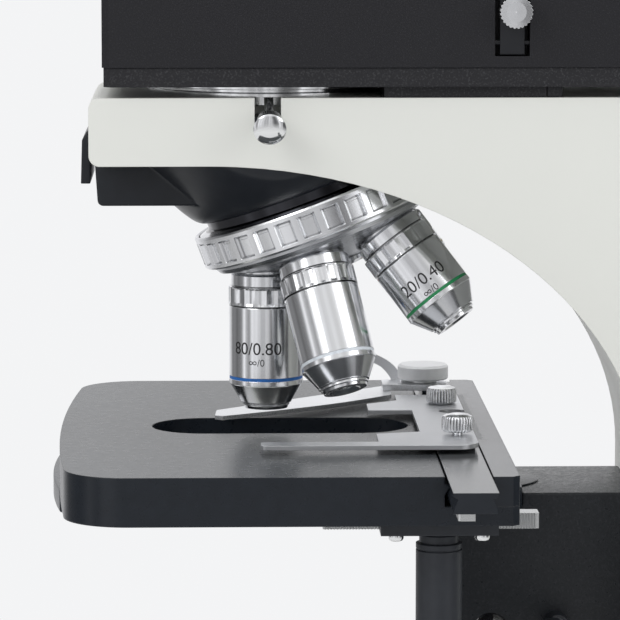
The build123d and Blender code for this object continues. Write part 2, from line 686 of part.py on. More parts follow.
def head_body():
    chin = HEAD_CHIN
    rise = HEAD_HEIGHT - chin
    profile = shape([(HEAD_FRONT, HEAD_SKIRT), (HEAD_FRONT, chin),
                     (HEAD_FRONT + rise * tan(radians(EYE_ANGLE)), HEAD_HEIGHT),
                     (HEAD_BACK, HEAD_HEIGHT), (HEAD_BACK, HEAD_SKIRT)])
    profile = rounded(profile, [(HEAD_BACK, HEAD_HEIGHT, 14), (HEAD_BACK, HEAD_SKIRT, 4),
                                (HEAD_FRONT, HEAD_SKIRT, 4)])
    body = Pos(0, 0, HEAD_BASE) * side_wall(profile, HEAD_HALF)
    body = fillet(body.edges().filter_by(Axis.Z).group_by(Axis.X)[-1], 12)
    stub = turned([(LIGHT_BORE, 0), (30.0, 0), (28.0, 4.0), (30.0, HEAD_SKIRT), (30.0, HEAD_SKIRT + 1),
                   (LIGHT_BORE, HEAD_SKIRT + 1)])
    body += Pos(0, 0, HEAD_BASE) * stub
    body -= Pos(0, 0, HEAD_BASE - 1) * Cylinder(LIGHT_BORE, HEAD_HEIGHT + 2, align=MIN)
    front = eye_plane()
    cap = 2 * LOBE_THICKNESS + 2 * LOBE_GAP
    body += front * Pos(0, 0, -4) * Cylinder(5, cap + 4.2, align=MIN)
    body += front * Pos(0, 0, cap) * turned([(0, 0), (LOBE_RADIUS, 0), (LOBE_RADIUS, 1.5),
                                             (LOBE_RADIUS - 3, 3.2), (0, 3.6)])
    slot = HEAD_BASE + 26
    body -= rod(3 + RUNNING, (16, -HEAD_HALF - 1, slot), (16, -LIGHT_BORE - 4, slot))
    return body


def photo_tube():
    """The upright camera tube, open at the top for an adapter."""
    foot = HEAD_BASE + HEAD_HEIGHT
    return Pos(0, 0, foot) * turned(
        [(PHOTO_BORE, 0), (PHOTO_TUBE_RADIUS + 3, 0), (PHOTO_TUBE_RADIUS + 3, 4), (PHOTO_TUBE_RADIUS, 6),
         (PHOTO_TUBE_RADIUS, PHOTO_TUBE_HEIGHT - 8), (PHOTO_TUBE_RADIUS + 1.5, PHOTO_TUBE_HEIGHT - 7),
         (PHOTO_TUBE_RADIUS + 1.5, PHOTO_TUBE_HEIGHT), (PHOTO_BORE, PHOTO_TUBE_HEIGHT)])


def camera_slider():
    height = HEAD_BASE + 26
    stem = rod(3, (16, -HEAD_HALF - 5, height), (16, -LIGHT_BORE - 5, height))
    knob = turned([(0, 0), (4, 0), (5.5, 1.5), (5.5, 7), (4.5, 8), (0, 8)])
    return stem + Plane(origin=(16, -HEAD_HALF - 3, height), z_dir=(0, -1, 0)) * knob


def eye_centre(side):
    """Where an eyepiece crosses the lobe face, in the eye plane."""
    return side * EYE_OFFSET * cos(radians(EYE_DROP)), EYE_OFFSET * sin(radians(EYE_DROP))


def eye_tube(side, start):
    """One lobe with its eyepiece tube."""
    x, y = eye_centre(side)
    long = EYE_OFFSET
    angle = EYE_DROP if side > 0 else 180 - EYE_DROP
    lobe = Rot(0, 0, angle) * Pos(long / 2, 0) * SlotCenterToCenter(long, 2 * LOBE_RADIUS)
    body = extrude(lobe, amount=LOBE_THICKNESS)
    body = Pos(0, 0, start) * body
    body -= Pos(0, 0, start - 1) * Cylinder(5 + RUNNING, LOBE_THICKNESS + 2, align=MIN)
    body += Pos(x, y, start + LOBE_THICKNESS - 1) * Cylinder(
        EYE_TUBE_RADIUS, EYE_TUBE_END - start - LOBE_THICKNESS + 1, align=MIN)
    bore = Cylinder(EYE_TUBE_BORE, EYEPIECE_LENGTH + 1, align=MIN)
    body -= Pos(x, y, EYE_TUBE_END - EYEPIECE_LENGTH) * bore
    return eye_plane() * body


def left_tube():
    x, y = eye_centre(1)
    body = eye_tube(1, 0)
    groove = turned([(EYE_TUBE_RADIUS - 1, EYE_TUBE_END - 14), (EYE_TUBE_RADIUS + 1, EYE_TUBE_END - 14),
                     (EYE_TUBE_RADIUS + 1, EYE_TUBE_END + 1), (EYE_TUBE_RADIUS - 1, EYE_TUBE_END + 1)])
    return body - eye_plane() * Pos(x, y, 0) * groove


def right_tube():
    return eye_tube(-1, LOBE_THICKNESS + LOBE_GAP)


def diopter_ring():
    x, y = eye_centre(1)
    inner = EYE_TUBE_RADIUS - 1 + RUNNING
    ring = turned([(inner, EYE_TUBE_END - 13.7), (EYE_TUBE_RADIUS + 2.2, EYE_TUBE_END - 13.7),
                   (EYE_TUBE_RADIUS + 2.2, EYE_TUBE_END - 1.5), (EYE_TUBE_RADIUS + 1, EYE_TUBE_END - 0.3),
                   (inner, EYE_TUBE_END - 0.3)])
    notch = Pos(0, 0, EYE_TUBE_END - 14) * flute(EYE_TUBE_RADIUS + 2.2, 0.5, 1.6, 13)
    return eye_plane() * Pos(x, y, 0) * fluted(ring, notch, 20)


def eyepiece(side):
    x, y = eye_centre(side)
    end = EYE_TUBE_END
    body = turned([(0, end - 20), (EYE_TUBE_BORE - 0.03, end - 20), (EYE_TUBE_BORE - 0.03, end),
                   (EYE_TUBE_RADIUS, end), (EYE_TUBE_RADIUS, end + 5), (EYE_TUBE_RADIUS - 1.5, end + 7),
                   (EYE_TUBE_RADIUS + 0.8, end + 16), (EYE_TUBE_RADIUS + 1.6, end + 22),
                   (EYE_TUBE_RADIUS + 1.6, end + 30),
                   (EYE_TUBE_RADIUS - 0.8, end + 31), (EYE_TUBE_RADIUS - 3.5, end + 25), (0, end + 24)])
    return eye_plane() * Pos(x, y, 0) * body


# Revolving nosepiece

def objective_place(index):
    """The place of an objective's shoulder, z along its axis towards the tip."""
    turn = -360 / POSITIONS * index
    return TURRET * Rot(0, 0, turn) * Rot(0, -TILT, 0) * Pos(0, 0, SHOULDER_DISTANCE)


def cone_height(radius):
    """How far the turret's working face lies along its axis, at a radius."""
    slope = tan(radians(TILT))
    middle = SHOULDER_DISTANCE * sin(radians(TILT))
    return SHOULDER_DISTANCE * cos(radians(TILT)) - slope * (radius - middle)


def turret_plate():
    rim = TURRET_RADIUS - 0.8
    body = turned([(POST_RADIUS + RUNNING, TURRET_TOP), (TURRET_RADIUS, TURRET_TOP),
                   (TURRET_RADIUS, cone_height(rim) - 1.4),
                   (rim, cone_height(rim)), (TURRET_HUB_RADIUS, cone_height(TURRET_HUB_RADIUS)),
                   (POST_RADIUS + RUNNING, cone_height(TURRET_HUB_RADIUS))], TURRET)
    for index in range(POSITIONS):
        body -= objective_place(index) * Pos(0, 0, -24) * Cylinder(THREAD_RADIUS + 0.02, 25, align=MIN)
    return body


def grip_ring():
    """The ring that the hand turns, with flat pockets between rounded ribs."""
    inner = TURRET_RADIUS + 0.02
    ring = turned([(inner, TURRET_TOP + 0.5), (FIXED_FLANGE_RADIUS + 0.35, TURRET_TOP + 0.5),
                   (FIXED_FLANGE_RADIUS + 0.35, GRIP_TOP + 0.4), (GRIP_RADIUS - 1.0, GRIP_TOP),
                   (GRIP_RADIUS - 0.4, GRIP_TOP + 0.1), (GRIP_RADIUS, GRIP_TOP + 0.7),
                   (GRIP_RADIUS, GRIP_BOTTOM - 0.6),
                   (GRIP_RADIUS - 0.5, GRIP_BOTTOM), (inner + 0.6, GRIP_BOTTOM),
                   (inner, GRIP_BOTTOM - 0.6)])
    floor = GRIP_RADIUS - POCKET_DEPTH
    pocket = block(floor, GRIP_RADIUS + 2, -POCKET_WIDTH / 2, POCKET_WIDTH / 2, POCKET_TOP, POCKET_BOTTOM)
    for index in range(GRIP_RIBS):
        ring -= Rot(0, 0, 360 / GRIP_RIBS * (index + 0.5)) * pocket
    return TURRET * ring


def objective(length):
    """One objective from its thread to its tip."""
    cone = min(SHOULDER_LENGTH, length / 3)
    belt = length - cone
    grip_end = COLLAR_LENGTH + GRIP_LENGTH
    body = turned([(0, -5), (THREAD_RADIUS, -5), (THREAD_RADIUS, 0), (COLLAR_RADIUS - 0.6, 0),
                   (COLLAR_RADIUS, 0.6),
                   (COLLAR_RADIUS, COLLAR_LENGTH - 0.3), (COLLAR_RADIUS - 0.4, COLLAR_LENGTH - 0.2),
                   (COLLAR_RADIUS - 0.4, COLLAR_LENGTH),
                   (BARREL_RADIUS - 0.3, COLLAR_LENGTH), (BARREL_RADIUS - 0.3, grip_end),
                   (BARREL_RADIUS - 0.7, grip_end),
                   (BARREL_RADIUS - 0.7, grip_end + 0.4), (BARREL_RADIUS, grip_end + 0.5),
                   (BARREL_RADIUS, belt), (TIP_RADIUS, length - 1.25),
                   (TIP_RADIUS - 0.7, length - 1.1), (TIP_RADIUS - 0.9, length),
                   (LENS_RADIUS + 1.4, length),
                   (LENS_RADIUS, length - LENS_RECESS), (0, length - LENS_RECESS)])
    facets = RegularPolygon(BARREL_RADIUS + 0.35, GRIP_FACETS)
    return body + extrude(Pos(0, 0, COLLAR_LENGTH) * facets, amount=GRIP_LENGTH)


def objective_lenses():
    lenses = Part()
    for index, length in enumerate(OBJECTIVES.values()):
        lens = turned([(0, 0), (LENS_RADIUS, 0), (LENS_RADIUS * 0.7, 0.45), (0, 0.6)])
        lenses += objective_place(index) * Pos(0, 0, length - LENS_RECESS) * lens
    return lenses


# Stage

def at_stage(depth):
    """A height given as a depth below the stage's top."""
    return STAGE_TOP - depth


def bar_profile():
    """The slider bar's dovetail section, in X and depth."""
    waist = -BAR_LIP - 0.7
    shoulder = -BAR_DEPTH + 1.2
    return [(BAR_LEFT, 0), (BAR_RIGHT, 0), (BAR_RIGHT, -BAR_LIP), (BAR_RIGHT - BAR_UNDERCUT, waist),
            (BAR_RIGHT - 0.3, shoulder), (BAR_RIGHT - 0.3, -BAR_DEPTH), (BAR_LEFT + 0.2, -BAR_DEPTH),
            (BAR_LEFT + 0.2, shoulder), (BAR_LEFT + BAR_UNDERCUT, waist), (BAR_LEFT, -BAR_LIP)]


def along_y(points, near, far):
    """A section drawn in X and depth, drawn out along Y."""
    outline = Plane.XZ.offset(-near) * shape([(x, STAGE_TOP + z) for x, z in points])
    return extrude(outline, amount=near - far)


def stage_outline():
    near, far = PLATE_MID - PLATE_HALF, PLATE_MID + PLATE_HALF
    bulge = ThreePointArc((PLATE_LEFT, near), (PLATE_LEFT - PLATE_BULGE, PLATE_MID), (PLATE_LEFT, far))
    rest = Polyline((PLATE_LEFT, far), (LEDGE_RIGHT - LEDGE_CHAMFER, far),
                    (LEDGE_RIGHT, far - LEDGE_CHAMFER),
                    (LEDGE_RIGHT, near + LEDGE_CHAMFER), (LEDGE_RIGHT - LEDGE_CHAMFER, near),
                    (PLATE_LEFT, near))
    return rounded(make_face([bulge, *rest.edges()]),
                   [(PLATE_LEFT, near, PLATE_ROUND), (PLATE_LEFT, far, PLATE_ROUND)])


def slot_outline():
    length = SLOT_RIGHT - SLOT_LEFT
    return Pos((SLOT_LEFT + SLOT_RIGHT) / 2, 0) * SlotOverall(length, 2 * SLOT_HALF)


def stage_plate():
    near, far = PLATE_MID - PLATE_HALF, PLATE_MID + PLATE_HALF
    body = slab(stage_outline(), at_stage(PLATE_DEPTH), STAGE_TOP)
    body -= slab(slot_outline(), at_stage(PLATE_DEPTH + 1), STAGE_TOP + 1)
    body -= block(PLATE_RIGHT, LEDGE_RIGHT + 1, near - 1, far + 1, at_stage(LEDGE_DEPTH), STAGE_TOP + 1)
    tongue = [(PLATE_RIGHT - 1, -BAR_LIP - 1.6), (PLATE_RIGHT, -BAR_LIP - 0.9),
              (BAR_LEFT + BAR_UNDERCUT - 0.5, -BAR_LIP - 1.9),
              (PLATE_RIGHT, -BAR_DEPTH + 0.7), (PLATE_RIGHT - 1, -BAR_DEPTH + 0.7)]
    body += along_y(tongue, near, far)
    pinion_room = CROSS_PITCH + RACK_MODULE + 0.3
    spot = Pos(DRIVE_X, DRIVE_Y)
    pocket = Cylinder(pinion_room, LEDGE_DEPTH - BAR_DEPTH + 0.2, align=MIN)
    body -= spot * Pos(0, 0, at_stage(LEDGE_DEPTH)) * pocket
    body -= spot * Pos(0, 0, at_stage(PLATE_DEPTH + 1)) * Cylinder(CROSS_TOP_RADIUS + RUNNING, 8, align=MIN)
    return body


def scale_block():
    near, far = PLATE_MID - PLATE_HALF, PLATE_MID + PLATE_HALF
    cut = LEDGE_CHAMFER
    body = slab(shape([(BLOCK_LEFT, near), (LEDGE_RIGHT - cut, near), (LEDGE_RIGHT, near + cut),
                       (LEDGE_RIGHT, far - cut),
                       (LEDGE_RIGHT - cut, far), (BLOCK_LEFT, far)]), at_stage(LEDGE_DEPTH), STAGE_TOP)
    tongue = [(BLOCK_LEFT + 1, -BAR_LIP - 0.3), (BLOCK_LEFT, -BAR_LIP - 0.5),
              (BAR_RIGHT - BAR_UNDERCUT + 0.5, -BAR_LIP - 1.6),
              (BLOCK_LEFT - 0.3, -BAR_DEPTH + 1), (BLOCK_LEFT + 1, -BAR_DEPTH + 1)]
    return body + along_y(tongue, near, far)


def slider_bar():
    body = along_y(bar_profile(), BAR_NEAR, BAR_FAR)
    tail = PIVOT_Y + HUB_RADIUS + 6
    body += block(BAR_LEFT + 1.5, BAR_RIGHT - 1.2, HOLDER_NEAR + 14, HOLDER_FAR - 1, STAGE_TOP - 1,
                  STAGE_TOP + PAD_TOP)
    hub = STAGE_TOP + PAD_TOP + HOLDER_THICKNESS + 0.1
    body += block(BAR_LEFT + 1.5, BAR_RIGHT - 1.2, PIVOT_Y - HUB_RADIUS, tail, STAGE_TOP - 1, hub)
    for x, y in (SCREW_FRONT, SCREW_REAR):
        body -= Pos(x, y, STAGE_TOP - 3) * Cylinder(1.6 + RUNNING, 6, align=MIN)
    return body


def bar_rack():
    first = BAR_NEAR + 0.6 - DRIVE_Y
    last = -DRIVE_Y - 52
    thickness = BAR_RACK_BACK - (DRIVE_X + CROSS_PITCH) + RACK_MODULE
    outline = rack_outline(RACK_MODULE, first, last, thickness)
    place = Plane(origin=(DRIVE_X + CROSS_PITCH, DRIVE_Y, at_stage(BAR_DEPTH + BAR_RACK_HEIGHT)),
                  x_dir=(0, 1, 0), z_dir=(0, 0, 1))
    return extrude(place * outline, amount=BAR_RACK_HEIGHT)


def holder_plate():
    """The L-shaped specimen holder with its long near finger."""
    bottom = STAGE_TOP + PAD_TOP
    outline = shape([
        (FINGER_TIP, HOLDER_NEAR), (HOLDER_RIGHT, HOLDER_NEAR), (HOLDER_RIGHT, HOLDER_FAR),
        (44.0, HOLDER_FAR),
        (44.0, 35.5), (33.7, 27.4), (33.7, 12.5), (48.0, 12.5), (48.0, -34.0), (34.1, -38.0),
        (34.1, HOLDER_NEAR + FINGER_WIDTH), (FINGER_TIP, HOLDER_NEAR + FINGER_WIDTH)])
    outline = rounded(outline, [(HOLDER_RIGHT, HOLDER_NEAR, 7), (FINGER_TIP, HOLDER_NEAR, 1.5),
                                (FINGER_TIP, HOLDER_NEAR + FINGER_WIDTH, 1.5)])
    outline -= Pos(61.0, 10.0) * Circle(4.4)
    outline -= Pos(64.0, 10.0) * Rectangle(4.0, 6.4)
    for x, y in (SCREW_FRONT, SCREW_REAR):
        outline -= Pos(x, y) * Circle(1.6 + RUNNING)
    return slab(outline, bottom, bottom + HOLDER_THICKNESS)


def holder_screw(spot, gap, length, dome):
    top = STAGE_TOP + PAD_TOP + HOLDER_THICKNESS
    screw = thumbscrew(5.0, length, dome, 1.6, gap + HOLDER_THICKNESS + 3.0, 20)
    return Pos(spot[0], spot[1], top + gap) * screw


def hub_floor():
    """The top of the pivot pad on the slider bar, just under the lever's hub."""
    return STAGE_TOP + PAD_TOP + HOLDER_THICKNESS + 0.1 + RUNNING


def finger_lever():
    """The sprung rear finger: a tapering blade, a hub on the pivot and an upright thumb tab."""
    bottom = STAGE_TOP + PAD_TOP
    top = bottom + HOLDER_THICKNESS
    near_edge = Spline((-14.0, 1.2), (-1.9, 9.2), (30.4, 35.5), (43.0, 49.6))
    rest = Polyline((43.0, 49.6), (43.0, 72.0), (-16.0, 14.5), (-16.6, 3.2), (-14.0, 1.2))
    blade = slab(make_face([near_edge, *rest.edges()]), bottom, top)
    floor = hub_floor()
    web = shape([(40.5, PIVOT_Y - HUB_RADIUS + 1), (PIVOT_X, PIVOT_Y - HUB_RADIUS),
                 (PIVOT_X, PIVOT_Y + HUB_RADIUS),
                 (40.5, 69.4)])
    hub = slab(web + Pos(PIVOT_X, PIVOT_Y) * Circle(HUB_RADIUS), floor, floor + HUB_THICKNESS)
    riser = slab(shape([(40.5, PIVOT_Y - HUB_RADIUS + 1), (43.0, PIVOT_Y - HUB_RADIUS + 1), (43.0, 71.8),
                        (40.5, 69.4)]),
                 bottom, floor + HUB_THICKNESS)
    tab_edge = Spline((45.0, 0), (40.5, 6.2), (33.0, 9.0), tangents=((-0.5, 1), (-1, 0.2)))
    tab_back = Spline((30.0, 12.8), (39.0, 10.4), (46.5, 4.6), tangents=((1, 0), (0.6, -1)))
    tab_ends = [Line((33.0, 9.0), (30.0, 12.8)), Line((46.5, 4.6), (48.0, 0)), Line((48.0, 0), (45.0, 0))]
    tab = make_face([tab_edge, tab_back, *tab_ends])
    tab = extrude(Plane(origin=(0, 73.0, floor), x_dir=(1, 0, 0), z_dir=(0, -1, 0)) * tab, amount=1.6)
    ledge = slab(shape([(44.0, 68.0), (PIVOT_X, 68.0), (PIVOT_X, 73.0), (44.0, 73.0)]), floor,
                 floor + HUB_THICKNESS)
    body = blade + riser + hub + ledge + tab
    return body - Pos(PIVOT_X, PIVOT_Y, floor - 3) * Cylinder(2.5 + RUNNING, 9, align=MIN)


def finger_spring():
    """The flat spring round the pivot, between the hub and the knob, with one straight leg."""
    strip = 0.5
    radius = 4.2
    height = hub_floor() + HUB_THICKNESS + strip + 0.05
    inner, outer = radius - strip, radius + strip
    ring = turned([(inner, -strip), (outer, -strip), (outer, strip), (inner, strip)])
    leg = block(-7.4, -radius, -strip, strip, -strip, strip)
    return Pos(PIVOT_X, PIVOT_Y, height) * (ring + leg)


def pivot_knob():
    """The round satin knob and the pivot pin below it."""
    floor = hub_floor() + HUB_THICKNESS
    skirt = 1.15
    body = Pos(PIVOT_X, PIVOT_Y, floor + skirt) * turned(
        [(0, 0), (KNOB_RADIUS - 0.4, 0), (KNOB_RADIUS, 0.4), (KNOB_RADIUS, KNOB_HEIGHT - 0.8),
         (KNOB_RADIUS - 0.8, KNOB_HEIGHT),
         (0, KNOB_HEIGHT)])
    pin = Cylinder(2.5, HUB_THICKNESS + skirt + RUNNING, align=MIN)
    return body + Pos(PIVOT_X, PIVOT_Y, hub_floor() - RUNNING) * pin


# Coaxial drive

def drive_bracket():
    """The plate under the stage with the sleeve of the coaxial drive."""
    top, bottom = at_stage(PLATE_DEPTH), at_stage(PLATE_DEPTH + BRACKET_DEPTH)
    far = DRIVE_Y + TRAVEL_PITCH - RACK_MODULE - 0.7
    body = block(BRACKET_LEFT, BRACKET_RIGHT, BRACKET_NEAR, far, bottom, top)
    relief = TRAVEL_PITCH - RACK_MODULE - 0.1
    body += Pos(DRIVE_X, DRIVE_Y, bottom) * turned(
        [(0, 0), (relief, 0), (relief, -1.1), (NECK_DRIVE_RADIUS, -1.1), (NECK_DRIVE_RADIUS, -3.5),
         (SLEEVE_RADIUS, -3.7), (SLEEVE_RADIUS, -5.2),
         (SLEEVE_RADIUS - 0.4, -5.3), (SLEEVE_RADIUS - 0.4, -5.7), (SLEEVE_RADIUS, -5.8),
         (SLEEVE_RADIUS, -SLEEVE_LENGTH),
         (0, -SLEEVE_LENGTH)])
    room = TRAVEL_PITCH + RACK_MODULE + 0.3
    body -= Pos(DRIVE_X, DRIVE_Y, bottom + 0.9) * Cylinder(room, BRACKET_DEPTH, align=MIN)
    return body - Pos(DRIVE_X, DRIVE_Y, bottom - SLEEVE_LENGTH - 1) * Cylinder(
        TRAVEL_TUBE_RADIUS + RUNNING, SLEEVE_LENGTH + BRACKET_DEPTH, align=MIN)


def drive_knob(radius, inner):
    """A drive knob hanging below z = 0."""
    h = DRIVE_KNOB_HEIGHT
    knob = turned([(inner, 0), (radius - 2, 0), (radius - 0.6, -1.6), (radius, -h + 2.5),
                   (radius - 2, -h), (inner, -h)])
    return fluted(knob, Pos(0, 0, -h) * flute(radius, 0.65, 1.7, h), 24)


def travel_drive():
    """The outer tube: its pinion walks along the fixed rack, its knob hangs below the sleeve."""
    bottom = at_stage(PLATE_DEPTH + BRACKET_DEPTH)
    end = bottom - SLEEVE_LENGTH - 0.3
    floor = bottom + 0.9 + RUNNING
    height = at_stage(PLATE_DEPTH + 0.2) - floor
    body = Pos(DRIVE_X, DRIVE_Y, floor) * pinion(RACK_MODULE, TRAVEL_TEETH, height)
    body += Pos(DRIVE_X, DRIVE_Y, end) * Cylinder(TRAVEL_TUBE_RADIUS, floor - end, align=MIN)
    body += Pos(DRIVE_X, DRIVE_Y, end) * drive_knob(UPPER_KNOB_RADIUS, 0)
    return body - Pos(DRIVE_X, DRIVE_Y, end - DRIVE_KNOB_HEIGHT - 1) * Cylinder(
        CROSS_SHAFT_RADIUS + RUNNING, 120, align=MIN)


def cross_drive():
    """The inner shaft: its pinion drives the slider bar, its knob is the lower one."""
    start = at_stage(PLATE_DEPTH + BRACKET_DEPTH) - SLEEVE_LENGTH - 0.3 - DRIVE_KNOB_HEIGHT - 0.3
    waist = at_stage(PLATE_DEPTH + 0.3)
    pinion_floor = at_stage(BAR_DEPTH + BAR_RACK_HEIGHT) - 0.4
    body = Pos(DRIVE_X, DRIVE_Y, start) * Cylinder(CROSS_SHAFT_RADIUS, waist - start, align=MIN)
    body += Pos(DRIVE_X, DRIVE_Y, waist - 1) * Cylinder(CROSS_TOP_RADIUS, pinion_floor - waist + 1.5,
                                                        align=MIN)
    height = BAR_RACK_HEIGHT
    body += Pos(DRIVE_X, DRIVE_Y, pinion_floor) * pinion(RACK_MODULE, CROSS_TEETH, height)
    return body + Pos(DRIVE_X, DRIVE_Y, start) * drive_knob(LOWER_KNOB_RADIUS, 0)


def lower_top():
    return at_stage(PLATE_DEPTH + STAGE_GAP)


def stage_lower_plate():
    """The plate that stays with the focusing block, with the ear that carries the fixed rack."""
    top = lower_top()
    bottom = top - LOWER_DEPTH
    outline = shape([(LOWER_LEFT, -LOWER_HALF), (FOCUS_FRONT, -LOWER_HALF), (FOCUS_FRONT, LOWER_HALF),
                     (LOWER_LEFT, LOWER_HALF)])
    outline = rounded(outline, [(LOWER_LEFT, -LOWER_HALF, LOWER_ROUND),
                                (LOWER_LEFT, LOWER_HALF, LOWER_ROUND),
                                (FOCUS_FRONT, -LOWER_HALF, 6), (FOCUS_FRONT, LOWER_HALF, 6)])
    body = slab(outline - slot_outline(), bottom, top)
    body += block(FIXED_RACK_LEFT + 4, FOCUS_FRONT - 6, rack_back(), -LOWER_HALF + 1,
                  top - FIXED_RACK_HEIGHT + 0.7, top)
    tongue = Pos(FOCUS_FRONT, 0) * Circle(7.0) + Pos(FOCUS_FRONT - 4, 0) * Rectangle(8, 14)
    return body + slab(tongue, FOCUS_TOP, top)


def rack_back():
    return DRIVE_Y + TRAVEL_PITCH + 7.0


def fixed_rack():
    outline = rack_outline(RACK_MODULE, FIXED_RACK_LEFT - DRIVE_X, FIXED_RACK_RIGHT - DRIVE_X,
                           7.0 + RACK_MODULE)
    place = Plane(origin=(DRIVE_X, DRIVE_Y + TRAVEL_PITCH, lower_top()), x_dir=(1, 0, 0),
                  z_dir=(0, 0, -1))
    return extrude(place * outline, amount=FIXED_RACK_HEIGHT)


# Focusing

def focus_rack_face():
    return KNOB_AXIS_X - FOCUS_PITCH + FOCUS_MODULE - FOCUS_RACK_THICKNESS


def focus_block():
    body = block(FOCUS_FRONT, COLUMN_FRONT - FOCUS_GAP, -FOCUS_HALF, FOCUS_HALF, FOCUS_BOTTOM, FOCUS_TOP)
    body += block(COLUMN_FRONT - 2, focus_rack_face(), -FOCUS_TONGUE_HALF, FOCUS_TONGUE_HALF,
                  FOCUS_BOTTOM, FOCUS_TOP)
    body -= block(FOCUS_FRONT - 1, FOCUS_FRONT + 1.5, -FOCUS_HALF + 5, FOCUS_HALF - 5, FOCUS_BOTTOM + 8,
                  FOCUS_TOP - 26)
    return body - rod(4 + RUNNING, (FOCUS_FRONT + 11, -FOCUS_HALF - 1, clamp_height()),
                      (FOCUS_FRONT + 11, -FOCUS_HALF + 12, clamp_height()))


def focus_rack():
    outline = rack_outline(FOCUS_MODULE, FOCUS_BOTTOM + 1 - KNOB_AXIS_Z, FOCUS_TOP - 30 - KNOB_AXIS_Z,
                           FOCUS_RACK_THICKNESS)
    place = Plane(origin=(KNOB_AXIS_X - FOCUS_PITCH, -FOCUS_RACK_HALF, KNOB_AXIS_Z), x_dir=(0, 0, 1),
                  z_dir=(0, 1, 0))
    return extrude(place * outline, amount=2 * FOCUS_RACK_HALF)


def focus_pinion():
    """The hollow coarse shaft with the pinion cut in its middle."""
    half = FOCUS_RACK_HALF
    reach = ARM_HALF + BOSS_LENGTH + 0.3 + COARSE_WIDTH
    shaft = rod(COARSE_SHAFT, (KNOB_AXIS_X, -reach, KNOB_AXIS_Z), (KNOB_AXIS_X, reach, KNOB_AXIS_Z))
    place = Plane(origin=(KNOB_AXIS_X, -half, KNOB_AXIS_Z), x_dir=(-1, 0, 0), z_dir=(0, 1, 0))
    shaft += place * pinion(FOCUS_MODULE, FOCUS_TEETH, 2 * half)
    return shaft - rod(FINE_SHAFT + RUNNING, (KNOB_AXIS_X, -reach - 1, KNOB_AXIS_Z),
                       (KNOB_AXIS_X, reach + 1, KNOB_AXIS_Z))


def coarse_knobs():
    start = ARM_HALF + BOSS_LENGTH + 0.3
    bore = COARSE_SHAFT + KNOB_FIT
    knob = turned([(bore, 0), (BOSS_RADIUS + 1, 0), (COARSE_RADIUS - 3, 2), (COARSE_RADIUS, 4),
                   (COARSE_RADIUS, COARSE_WIDTH - 3), (COARSE_RADIUS - 3, COARSE_WIDTH),
                   (bore, COARSE_WIDTH)])
    knob = fluted(knob, flute(COARSE_RADIUS, 0.9, 2.5, COARSE_WIDTH), 30)
    return both_sides(Plane(origin=(KNOB_AXIS_X, start, KNOB_AXIS_Z), z_dir=(0, 1, 0)) * knob)


def fine_knobs():
    start = ARM_HALF + BOSS_LENGTH + 0.6 + COARSE_WIDTH
    knob = turned([(0, 0), (FINE_RADIUS - 1, 0), (FINE_RADIUS, 1), (FINE_RADIUS - 1, FINE_WIDTH - 2),
                   (FINE_RADIUS - 3, FINE_WIDTH),
                   (FINE_RADIUS - 4, FINE_WIDTH - 1), (0, FINE_WIDTH - 1)])
    knobs = both_sides(Plane(origin=(KNOB_AXIS_X, start, KNOB_AXIS_Z), z_dir=(0, 1, 0)) * knob)
    return knobs + rod(FINE_SHAFT, (KNOB_AXIS_X, -start - 1, KNOB_AXIS_Z),
                       (KNOB_AXIS_X, start + 1, KNOB_AXIS_Z))


def tension_ring():
    """The ring on the column's left boss that sets how stiff the coarse drive is."""
    inner = BOSS_RADIUS + RUNNING
    ring = turned([(inner, 0), (COARSE_RADIUS - 5, 0), (COARSE_RADIUS - 4, 1),
                   (COARSE_RADIUS - 4, BOSS_LENGTH - 1.4), (COARSE_RADIUS - 6, BOSS_LENGTH - 0.4),
                   (inner, BOSS_LENGTH - 0.4)])
    ring = fluted(ring, Pos(COARSE_RADIUS - 4, 0, 0) * Cylinder(1.5, BOSS_LENGTH, align=MIN), 6)
    return Plane(origin=(KNOB_AXIS_X, ARM_HALF + 0.1, KNOB_AXIS_Z), z_dir=(0, 1, 0)) * ring


def clamp_height():
    return STAGE_TOP - 60.0


def stage_clamp_lever():
    """The lever with a round black ball that clamps the stage to the focusing block."""
    root = Vector(FOCUS_FRONT + 11, -FOCUS_HALF, clamp_height())
    elbow = Vector(FOCUS_FRONT + 7, -FOCUS_HALF - 14, clamp_height() + 1)
    ball = Vector(68.0, -65.0, STAGE_TOP - 53.6)
    lever = rod(4, root + Vector(0, 8, 0), root + Vector(0, -8, 0))
    lever += rod(3, root + Vector(0, -6, 0), elbow) + Pos(*elbow) * Sphere(3) + rod(2.2, elbow, ball)
    return lever + Pos(*ball) * Sphere(5.7)


# Controls

def arm_clamp_screw():
    return clamp_place(0) * thumbscrew(THUMB_RADIUS, 8.0, 1.0, CLAMP_STEM_RADIUS, CLAMP_STEM, 28)


def head_clamp_screw():
    place = Plane(origin=(0, -HEAD_RING_RADIUS - 6, BOX_TOP + 5.6), z_dir=(0, -1, 0))
    return place * thumbscrew(THUMB_RADIUS, 8.0, 1.0, 2.0, 9.7, 20)


def brightness_dial():
    place = Plane(origin=(DIAL_X, -BASE_HALF - 0.3, DIAL_Z), z_dir=(0, -1, 0))
    r, h = DIAL_RADIUS, DIAL_REACH
    stem = Pos(0, 0, -8) * Cylinder(2.5, 8, align=MIN)
    return place * (turned([(0, 0), (r, 0), (r, h - 1), (r - 1, h), (0, h)]) + stem)


def power_switch():
    """A rocker with a shallow V-shaped face, on a cross pin."""
    face = BASE_BACK
    profile = shape([(face - 5, -5.6), (face + 1.2, -5.6), (face + 0.2, 0), (face + 2.6, 5.6),
                     (face - 5, 5.6)])
    rocker = Pos(0, SWITCH_Y, PANEL_Z) * side_wall(profile, 9.0)
    return rocker + rod(1.2, (face - 3, SWITCH_Y - 9.9, PANEL_Z), (face - 3, SWITCH_Y + 9.9, PANEL_Z))


